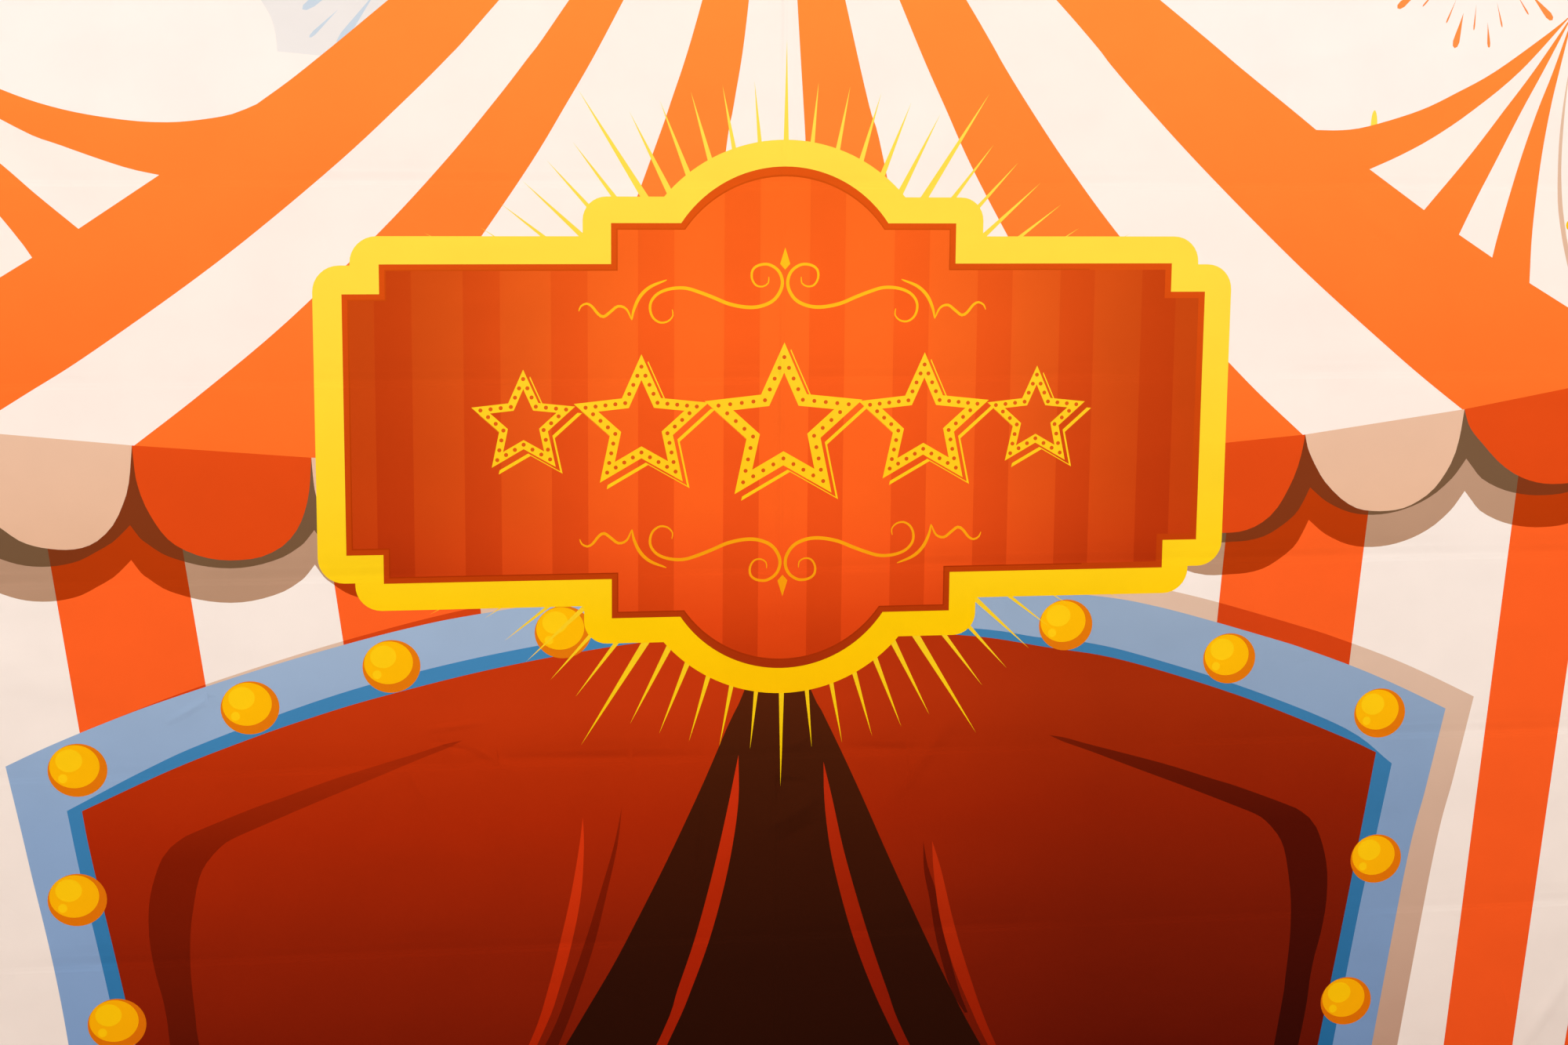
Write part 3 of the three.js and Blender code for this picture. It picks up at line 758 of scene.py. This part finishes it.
def bent(x, z, radius):
    """Where a point of the flat cut lies on the frame, for a cloth layer of that radius."""
    bx, bz = on_face(x, z)
    dx, dz = x - bx, z - bz
    s = hypot(dx, dz)
    if s < 1e-9:
        free = min(1.0, min(CORE_X - abs(x), z - CORE_LOW, CORE_HIGH - z) / FREE)
        # Broad waves, small waves and the creases
        swell = 0.0011 * (noise.noise(Vector((x * 1.7, z * 1.9, 3.1))) + 0.6)
        swell += 0.0006 * noise.noise(Vector((x * 6.0, z * 5.0, 8.2)))
        r = Vector((x, z - SIGN_HEIGHT))
        for p, q, half, rise in creases:
            t = max(0.0, min(1.0, (r - p).dot(q - p) / (q - p).length_squared))
            off = (r - p.lerp(q, t)).length / half
            if off < 1:
                swell += rise * (1 - off * off * (3 - 2 * off)) * sin(pi * (0.1 + 0.8 * t))
        # It can sink in between the posts, and lies on them where it meets them
        post = sqrt(max(0.0, TUBE ** 2 - (abs(x) - INNER_X) ** 2))
        return Vector((x, -radius - max(-0.003, post - OUTER + CLOTH + 0.0001, swell * free), z))
    nx, nz = dx / s, dz / s
    angle = s / OUTER
    if angle <= pi:
        return Vector((bx + nx * radius * sin(angle), -radius * cos(angle),
                       bz + nz * radius * sin(angle)))
    t = s - TURN
    along = z if abs(nx) > 0.5 else x
    gather = 0.0026 * (t / FLAP) ** 1.5 * (0.55 + 0.45 * sin(along * 92 + 3 * sin(along * 7)))
    hem = 0.0005 if t > FLAP - HEM and radius == OUTER else 0.0
    return Vector((bx - nx * t, radius + gather + hem, bz - nz * t))


SHADES = ("none", "shade_light", "shade_mid", "shade_deep")
kept = []
for face, parent in zip(faces, parents):
    over = set(parent)
    if cut_loop not in over or over.intersection(openings):
        continue
    ink, shade = "cloth_unprinted", 0
    if bleed_loop in over:
        for name, loop, holes, inside in rules:
            if loop in over and not holes & over and inside <= over:
                if name in SHADES:
                    shade = max(shade, SHADES.index(name))
                else:
                    ink, shade = name, 0
        if shade and ink.startswith("wall"):
            ink += "_" + SHADES[shade]
    kept.append((face, "ink_" + ink))

used = sorted({i for face, _ in kept for i in face})
index = {old: new for new, old in enumerate(used)}
count = len(used)
slots = sorted({side for _, ink in kept for side in (ink, ghosts[ink])})
polygons, polygon_slots, rim = [], [], {}
for face, ink in kept:
    a, b, c = (index[i] for i in face)
    polygons += [(a, b, c), (c + count, b + count, a + count)]
    polygon_slots += [slots.index(ink), slots.index(ghosts[ink])]
    for edge in ((a, b), (b, c), (c, a)):
        if not rim.pop(edge[::-1], False):
            rim[edge] = True
for a, b in rim:
    polygons.append((b, a, a + count, b + count))
    polygon_slots.append(slots.index("ink_cloth_unprinted"))
cloth_mesh = bpy.data.meshes.new("printed_cover")
cloth_mesh.from_pydata([bent(*flat[i], radius) for radius in (OUTER, OUTER - CLOTH) for i in used],
                       [], polygons)
for name in slots:
    cloth_mesh.materials.append(inks[name])
cloth_mesh.polygons.foreach_set("material_index", polygon_slots)
cloth_mesh.polygons.foreach_set("use_smooth", [True] * len(polygons))
cloth_mesh.update()
cover = set_up("printed_cover", cloth_mesh)
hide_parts("cover_front", "cover_top_strip", "cover_top_flap", "cover_bottom_strip",
            "cover_bottom_flap", "cover_left_strip", "cover_left_flap", "cover_right_strip",
            "cover_right_flap")
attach(cover, "root")


# Stitches: white polyester thread, 3 mm lockstitches.
# One row holds down the hem of the flap, one row edges each opening for a foot, and a zigzag
# joins the flaps where they meet at the corners.
def mesh_of(name, parts):
    """One mesh from parts, each a pair of corners and faces."""
    corners, faces = [], []
    for some, between in parts:
        faces += [tuple(i + len(corners) for i in f) for f in between]
        corners += [tuple(c) for c in some]
    mesh = bpy.data.meshes.new(name)
    mesh.from_pydata(corners, [], faces)
    return mesh


def build(name, parts, material, nodes=(), bevel=0.0, sharp=35.0):
    """One object from parts. Its hard edges are rounded by the bevel and marked, and it rides
    on the stand."""
    mesh = mesh_of(name, parts)
    bm = bmesh.new()
    bm.from_mesh(mesh)
    bmesh.ops.remove_doubles(bm, verts=bm.verts, dist=2e-6)
    bmesh.ops.recalc_face_normals(bm, faces=bm.faces)

    def edges_over(angle):
        return [e for e in bm.edges if len(e.link_faces) == 2
                and e.calc_face_angle(0) > radians(angle)]

    if bevel:
        bmesh.ops.bevel(bm, geom=edges_over(50), offset=bevel, segments=2, profile=0.5,
                        affect="EDGES", clamp_overlap=True)
    for f in bm.faces:
        f.smooth = True
    for e in edges_over(sharp):
        e.smooth = False
    bm.to_mesh(mesh)
    bm.free()
    mesh.materials.append(material)
    o = set_up(name, mesh)
    if nodes:
        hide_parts(*nodes)
    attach(o, "root")
    return o


def metal_or_plastic(name, code, metallic, roughness, scale, depth, tone=0.08, wear=None):
    """A hard surface: uneven in colour and gloss, with a relief of the given scale and depth.
    Wear is a second colour that shows in a few small spots."""
    m, tree, surface = new_material(name)
    place = add(tree, "NewGeometry")
    spot = add(tree, "VectorMath", [place, scale], operation="MULTIPLY")
    grain = add(tree, "TexNoise", {"Vector": spot, "Scale": 1.0, "Detail": 3.0})
    # Faint clouds of about 45 mm over the grain
    cloud = add(tree, "TexNoise", {"Vector": place, "Scale": 22.0, "Detail": 4.0})
    both = add(tree, "Math", [grain, cloud], operation="ADD")
    light = add(tree, "MapRange", [both, 0.6, 1.4, 1 - tone, 1 + tone])
    base = add(tree, "RGB")
    base.default_value = linear(code)
    colour = add(tree, "Mix", {0: 1.0, 6: base, 7: light}, **MULTIPLY)
    if wear:
        spots = add(tree, "TexNoise", {"Vector": place, "Scale": 55.0, "Detail": 6.0})
        spots = add(tree, "MapRange", [spots, 0.70, 0.76])
        other = add(tree, "RGB")
        other.default_value = linear(wear)
        colour = add(tree, "Mix", {0: spots, 6: colour, 7: other}, 2, data_type="RGBA")
    gloss = add(tree, "MapRange", [both, 0.6, 1.4, roughness - 0.06, roughness + 0.08])
    bump = add(tree, "Bump", {"Height": grain, "Strength": 0.35, "Distance": depth})
    feed(tree, surface, {"Base Color": colour, "Roughness": gloss, "Normal": bump,
                         "Metallic": metallic})
    return m


# Spun polyester: nearly white and matt, with a twist of 0.4 mm
thread = metal_or_plastic("sewing_thread_polyester", "F3EFE8", 0.0, 0.7, (2500, 2500, 2500), 0.0001)
THREAD = 0.00035             # half its thickness
HEM_ROW = TURN + FLAP - HEM + 0.003           # the hem's row from the tubes' middle
ROW_END = FLAP - 0.004       # the row ends this far from the corner
EDGE_HALF, EDGE_LOW, EDGE_HIGH = 0.031, CORE_LOW - 0.046, CORE_LOW - 0.007    # round an opening


def stitch(a, b):
    """One stitch between two points of the flat cut, as a thin lozenge on the cloth."""
    p, q = bent(*a, OUTER + 0.0003), bent(*b, OUTER + 0.0003)
    m = (p + q) / 2
    bx, bz = on_face(*a)
    dx, dz = a[0] - bx, a[1] - bz
    s = min(pi, hypot(dx, dz) / OUTER)
    rise = Vector((0, -cos(s), 0)) + Vector((dx, 0, dz)).normalized() * sin(s)
    side = (q - p).normalized().cross(rise).normalized()
    corners = [p, m + side * THREAD, m + rise * THREAD, m - side * THREAD, m - rise * THREAD, q]
    return corners, [(0, 1, 2), (0, 2, 3), (0, 3, 4), (0, 4, 1),
                     (5, 2, 1), (5, 3, 2), (5, 4, 3), (5, 1, 4)]


def seam(a, b, length=0.0026, pitch=0.0034):
    """A straight row of stitches."""
    a, b = Vector(a), Vector(b)
    way = (b - a).normalized()
    return [stitch(a + way * pitch * i, a + way * (pitch * i + length))
            for i in range(int((b - a).length / pitch))]


stitches = []
for z in (CORE_HIGH + HEM_ROW, CORE_LOW - HEM_ROW):
    stitches += seam((ROW_END - CORE_X, z), (CORE_X - ROW_END, z))
for x in (-CORE_X - HEM_ROW, CORE_X + HEM_ROW):
    stitches += seam((x, CORE_LOW + ROW_END), (x, CORE_HIGH - ROW_END))
for x in FEET_X:
    for u in (x - EDGE_HALF, x + EDGE_HALF):
        stitches += seam((u, EDGE_LOW), (u, EDGE_HIGH))
    for v in (EDGE_LOW, EDGE_HIGH):
        stitches += seam((x - EDGE_HALF, v), (x + EDGE_HALF, v))
for sx in (-1, 1):
    for base, sz in ((CORE_HIGH, 1), (CORE_LOW, -1)):
        zigzag = []
        for i in range(29):
            t = 0.004 + 0.0028 * i
            in_flap = t + 0.0034
            zigzag.append((sx * (CORE_X + TURN + t), base - sz * in_flap) if i % 2
                          else (sx * (CORE_X - in_flap), base + sz * (TURN + t)))
        stitches += [stitch(a, b) for a, b in zip(zigzag, zigzag[1:])]
build("hem_stitches", stitches, thread)

# Posts and rails: drawn aluminium tube, 32 mm across with a 1.5 mm wall, satin anodised.
# Each post is two lengths that meet on a hidden spigot, held by a sprung button, and the rails
# run between the fittings.
TUBE_WALL = 0.0015
ARM = 0.0453                 # a fitting's arm, with the gap to the tube
SPLIT = 1.22                 # height at which a post's two lengths meet
ALONG, BACK, UP = Vector((1, 0, 0)), Vector((0, 1, 0)), Vector((0, 0, 1))


def net(rows, across, ring=True, loop=False):
    """Faces between rows of corners. A ring closes each row, and a loop joins the last row to
    the first."""
    return [(j * across + i, j * across + (i + 1) % across,
             (j + 1) % rows * across + (i + 1) % across, (j + 1) % rows * across + i)
            for j in range(rows if loop else rows - 1) for i in range(across if ring else across - 1)]


def caps(rows, across):
    """The first and the last row of a net, each as one face."""
    return [tuple(range(across))[::-1], tuple(range((rows - 1) * across, rows * across))]


def turned(profile, start, end, sides=24, closed=False):
    """A surface turned about the line from start to end. The profile is (distance, radius)."""
    axis = (end - start).normalized()
    across = axis.orthogonal().normalized()
    other = axis.cross(across)
    corners = [start + axis * t + (across * c + other * s) * r
               for t, r in profile for c, s in circle(sides)]
    n = len(profile)
    return corners, net(n, sides, loop=closed) + ([] if closed else caps(n, sides))


def tube(name, start, end, material, node, edge=0.0004):
    """A length of tube, its cut edges broken."""
    start, end = Vector(start), Vector(end)
    length, bore = (end - start).length, TUBE - TUBE_WALL
    profile = [(0, TUBE - edge), (edge, TUBE), (length - edge, TUBE), (length, TUBE - edge),
               (length, bore), (0, bore)]
    build(name, [turned(profile, start, end, 48, closed=True)], material, [node])


# Satin anodised: a soft grey sheen with drawing lines along the tube, 0.7 mm apart, which is
# coarser than the real ones so that they show
upright = metal_or_plastic("anodised_tube_upright", "C3C6CA", 1.0, 0.34, (1500, 1500, 14), 0.00006)
level = metal_or_plastic("anodised_tube_level", "C3C6CA", 1.0, 0.34, (14, 1500, 1500), 0.00006)
# Zinc plate: a pale, slightly cloudy metal with a grain of 1.4 mm
zinc = metal_or_plastic("zinc_plated_steel", "B9BAB6", 1.0, 0.30, (700, 700, 700), 0.00005, 0.12)
BUTTON = [(-0.003, 0.0036), (0.0, 0.0036), (0.0007, 0.0034), (0.0013, 0.0027), (0.0016, 0.0014),
          (0.0017, 0.0003)]
RING = [(-0.0012, 0.0040), (0.00015, 0.0040), (0.00015, 0.0052), (-0.0012, 0.0052)]
for side, x in (("left", -CORE_X), ("inner_left", -INNER_X), ("inner_right", INNER_X),
                ("right", CORE_X)):
    for part, low, high in (("lower", CORE_LOW + ARM, SPLIT),
                            ("upper", SPLIT + 0.0003, CORE_HIGH - ARM)):
        node = f"post_{side}_{part}"
        tube(node + "_tube", (x, 0, low), (x, 0, high), upright, node)
    at = Vector((x, TUBE, SPLIT - 0.028))
    build(f"post_{side}_button", [turned(BUTTON, at, at + BACK),
                                  turned(RING, at, at + BACK, closed=True)], zinc)
for height, z in (("top", CORE_HIGH), ("bottom", CORE_LOW)):
    for side, x0, x1 in (("left", -CORE_X, -INNER_X), ("middle", -INNER_X, INNER_X),
                         ("right", INNER_X, CORE_X)):
        node = f"rail_{height}_{side}"
        tube(node + "_tube", (x0 + ARM, 0, z), (x1 - ARM, 0, z), level, node)

# Elbows and tees: black glass-filled nylon, moulded flush with the tubes.
# Their arms meet in a small fillet, and a groove runs round each arm where the tube's end sits.
FILLET = 0.004
ARM_PROFILE = [(0.0, 0.0), (0.0270, 0.0), (0.0276, -0.0006), (0.0290, -0.0006), (0.0296, 0.0),
               (0.0444, 0.0), (0.0450, -0.0008)]      # (distance from the crossing, radius change)
STEPS = 24                   # round half of an arm
HALF_TURN = [(cos(pi * i / STEPS), sin(pi * i / STEPS)) for i in range(STEPS + 1)]
# From an eroded mould: dark and half matt, with a grain of 1.1 mm, coarser than the real one
nylon = metal_or_plastic("moulded_nylon_black", "2A2B2D", 0.0, 0.48, (900, 900, 900), 0.00012, 0.10)


def arm(side, along, corner=0.0):
    """The half of an arm round the given side. It starts at the crossing, and at the side itself
    by the corner's distance from there."""
    corners = [(BACK * c + side * s) * (TUBE + d) + along * max(t, corner * s)
               for c, s in HALF_TURN for t, d in ARM_PROFILE]
    return corners, net(STEPS + 1, len(ARM_PROFILE), ring=False)


def fitting(name, centre, level_arms, stem):
    """Arms along X in the given directions, and one along Z. Distances are from the crossing."""
    parts, inner = [], TUBE + FILLET
    outs, away = [Vector((way, 0, 0)) for way in level_arms], Vector((0, 0, stem))
    for out in outs:
        # Inside of the bend: both arms start where the fillet ends
        parts += [arm(away, out, inner), arm(out, away, inner)]
        corners = []
        for c, s in HALF_TURN:
            middle = (out * s + BACK * c + away * s) * inner
            one, two = -(BACK * c + away * s), -(BACK * c + out * s)
            corners += [middle + one.lerp(two, k / 6).normalized() * FILLET if s > 1e-6
                        else BACK * c * TUBE for k in range(7)]
        parts.append((corners, net(STEPS + 1, 7, ring=False)))
        # Outside of the bend
        parts.append(arm(-away, out))
        if len(outs) == 1:
            parts.append(arm(-out, away))
            quarter = [pi / 2 * k / 12 for k in range(13)]
            parts.append(([(BACK * c - out * s * sin(b) - away * s * cos(b)) * TUBE
                           for c, s in HALF_TURN for b in quarter], net(STEPS + 1, 13, ring=False)))
    # The arms' ends
    reach, shrink = ARM_PROFILE[-1]
    r = TUBE + shrink
    for way in outs + [away]:
        side = UP if way.x else ALONG
        parts.append(([BACK * c * r + side * s * r + way * reach for c, s in circle(2 * STEPS)],
                      [tuple(range(2 * STEPS))]))
    parts = [([Vector(centre) + p for p in corners], faces) for corners, faces in parts]
    build(name + "_moulding", parts, nylon, [name], sharp=28)


for height, z, stem in (("top", CORE_HIGH, -1), ("bottom", CORE_LOW, 1)):
    fitting(f"elbow_{height}_left", (-CORE_X, 0, z), [1], stem)
    fitting(f"elbow_{height}_right", (CORE_X, 0, z), [-1], stem)
    fitting(f"tee_{height}_left", (-INNER_X, 0, z), [-1, 1], stem)
    fitting(f"tee_{height}_right", (INNER_X, 0, z), [-1, 1], stem)

# Feet: 6 mm steel plate, cut with round corners, powder coated black.
# A block with a round cradle is welded across the middle and carries the bottom rail. The two
# inner feet also have a welded fork with a bolt for the brace.
# Powder coat: half matt with an orange peel of 2.4 mm, and paler where it is rubbed
coat = metal_or_plastic("powder_coated_steel", "3A3B3E", 0.0, 0.5, (420, 420, 420), 0.00025, 0.10,
                        wear="55565A")
PLATE, PLATE_HALF, PLATE_REACH, PLATE_ROUND = 0.006, 0.06, 0.45, 0.03
BLOCK, BLOCK_HALF = 0.012, 0.025              # half the block's size across the rail and along it
CRADLE = TUBE + 0.0003
SUNK = PLATE - 0.001         # welded pieces start this high, a little inside the plate
BRACE_Y, BRACE_Z = 0.395, 0.032               # the fork's bolt
EAR_IN, EAR_OUT = 0.0035, 0.0085              # the ears' faces from the brace's middle


def prism(outline, near, far, upright=False):
    """An outline pushed from near to far, up from the floor's plane or else along X."""
    corners = [(u, v, d) if upright else (d, u, v) for d in (near, far) for u, v in outline]
    return corners, caps(2, len(outline)) + net(2, len(outline))


def ears(x, outline):
    """Two like plates, side by side with a gap for the brace between them."""
    return [prism(outline, x + s * EAR_IN, x + s * EAR_OUT) for s in (-1, 1)]


def bolt(x, y, z, inner=0.0086):
    """The shank, and for each side a washer with the hex head or the nut on it."""
    at = Vector((x, y, z))
    parts = [turned([(-0.0158, 0.0036), (-0.0153, 0.004), (0.0158, 0.004), (0.0163, 0.0034)],
                    at, at + ALONG)]
    for end in (at - ALONG, at + ALONG):
        parts.append(turned([(inner, 0.0080), (inner + 0.0002, 0.0083), (inner + 0.0013, 0.0083),
                             (inner + 0.0015, 0.0080)], at, end, 32))
        parts.append(turned([(inner + 0.0016, 0.0073), (inner + 0.0019, 0.0075),
                             (inner + 0.0062, 0.0075), (inner + 0.0068, 0.0068)], at, end, 6))
    return parts


def bead(a, b, radius=0.0026):
    """A weld bead: a ragged round string along the plate."""
    a, b = Vector((*a, PLATE)), Vector((*b, PLATE))
    last = round((b - a).length / 0.0016)
    walk = [a.lerp(b, i / last) for i in range(last)] + [b]
    corners = []
    for i, p in enumerate(walk):
        side = (walk[min(i + 1, last)] - walk[max(i - 1, 0)]).normalized().cross(UP).normalized()
        ripple = 0.00028 * sin(i * 2.1) + 0.0003 * noise.noise(p * 300)
        r = (radius + ripple) * (0.5 if i in (0, last) else 1)
        corners += [p + (side * c + UP * s) * r for c, s in circle(8)]
    return corners, net(last + 1, 8) + caps(last + 1, 8)


for name, x in zip(("foot_left", "foot_inner_left", "foot_inner_right", "foot_right"), FEET_X):
    plate = round_box(x - PLATE_HALF, -PLATE_REACH, x + PLATE_HALF, PLATE_REACH,
                      [PLATE_ROUND] * 4, 12)
    rim_angle = asin(BLOCK / CRADLE)
    seat = [(CRADLE * sin(a), CORE_LOW - CRADLE * cos(a))
            for a in (rim_angle * (1 - i / 8) for i in range(17))]
    parts = [prism(plate, 0.0, PLATE, upright=True),
             prism([(-BLOCK, SUNK), (BLOCK, SUNK)] + seat, x - BLOCK_HALF, x + BLOCK_HALF)]
    welds = [bead((x - s * BLOCK_HALF, -s * 0.0125), (x + s * BLOCK_HALF, -s * 0.0125))
             for s in (1, -1)]
    forked = abs(x) == INNER_X
    if forked:
        parts += ears(x, round_box(BRACE_Y - 0.014, SUNK, BRACE_Y + 0.014, BRACE_Z + 0.012,
                                   [0, 0, 0.010, 0.010]))
        welds += [bead((x + u, BRACE_Y - 0.013), (x + u, BRACE_Y + 0.013), 0.0021)
                  for u in (-0.009, 0.009)]
    build(name + "_plate", parts, coat, [name], bevel=0.0007)
    if forked:
        build(name + "_bolt", bolt(x, BRACE_Y, BRACE_Z), zinc)
    build(name + "_welds", welds, coat)

# Braces: 20 mm aluminium tube, pressed flat and drilled at both ends.
# Each is bolted between the two plates of the saddle above and of the fork below.
# Satin anodised as the posts, with the drawing lines along the slant
brace_metal = metal_or_plastic("anodised_tube_brace", "C3C6CA", 1.0, 0.34, (900, 260, 90), 0.00006)
TOP_Y, TOP_Z = 0.042, 1.09   # the saddle's bolt
AROUND = 40
# Sections of an end: distance from its bolt, half the width both ways, and how square it is
HALF_END = [(-0.0092, 0.0022, 0.0016, 4), (-0.0085, 0.0030, 0.0042, 4), (-0.006, 0.003, 0.0074, 4),
            (-0.003, 0.003, 0.0090, 4), (0.0, 0.003, 0.0095, 4), (0.012, 0.003, 0.0095, 4),
            (0.024, 0.003, 0.0095, 3.8), (0.029, 0.0036, 0.0097, 3.2), (0.034, 0.0053, 0.0100, 2.6),
            (0.039, 0.0075, 0.0101, 2.2), (0.044, 0.0092, 0.0100, 2), (0.050, 0.0100, 0.0100, 2)]
for side, x in (("left", -INNER_X), ("right", INNER_X)):
    top, foot = Vector((x, TOP_Y, TOP_Z)), Vector((x, BRACE_Y, BRACE_Z))
    length, way = (foot - top).length, (foot - top).normalized()
    wide = way.cross(ALONG)
    sections = HALF_END + [(length - t, a, b, n) for t, a, b, n in reversed(HALF_END)]
    corners = [top + way * t + ALONG * a * copysign(abs(c) ** (2 / n), c)
               + wide * b * copysign(abs(s) ** (2 / n), s)
               for t, a, b, n in sections for c, s in circle(AROUND)]
    faces = net(len(sections), AROUND) + caps(len(sections), AROUND)
    brace = build(f"brace_{side}_tube", [(corners, faces)], brace_metal,
                  [f"brace_{side}"])
    drill = set_up("drill", mesh_of("drills", [turned([(-0.01, 0.0043), (0.01, 0.0043)], end,
                                                      end + ALONG) for end in (top, foot)]))
    holes = brace.modifiers.new("holes", "BOOLEAN")
    holes.operation, holes.solver, holes.object = "DIFFERENCE", "EXACT", drill
    seen = brace.evaluated_get(bpy.context.evaluated_depsgraph_get())
    drilled = bpy.data.meshes.new_from_object(seen)
    brace.modifiers.clear()
    brace.data = drilled
    bpy.data.objects.remove(drill)

# Brace saddles: black nylon half rings on the inner posts, held by two rivets each.
# Two ears stand out to the back and take the brace's bolt.
SADDLE, SADDLE_OUTER = 0.016, 0.022           # half its height, and its radius
RIVET = [(0, 0.0042), (0.0008, 0.0041), (0.0014, 0.0034), (0.0018, 0.0020), (0.0019, 0.0006)]
for side, x in (("left", -INNER_X), ("right", INNER_X)):
    low, high = TOP_Z - SADDLE, TOP_Z + SADDLE
    ring = []
    for r, order in ((SADDLE_OUTER, 1), (CRADLE, -1)):
        edge = asin(0.003 / r)                # both ends lie 3 mm behind the post's middle
        sweep = [edge + (pi - 2 * edge) * i / 28 for i in range(29)]
        ring += [(x + r * cos(a), r * sin(a)) for a in sweep[::order]]
    ear = round_box(0.0195, low, TOP_Y + 0.012, high, [0, 0.009, 0.009, 0])
    build(f"brace_saddle_{side}_moulding", [prism(ring, low, high, upright=True)] + ears(x, ear),
          nylon, [f"brace_saddle_{side}"], bevel=0.0006)
    fixings = bolt(x, TOP_Y, TOP_Z)
    for a in (28, 152):
        out = Vector((cos(radians(a)), sin(radians(a)), 0))
        at = Vector((x, 0, TOP_Z)) + out * 0.0215
        fixings.append(turned(RIVET, at, at + out))
    build(f"brace_saddle_{side}_bolt", fixings, zinc)
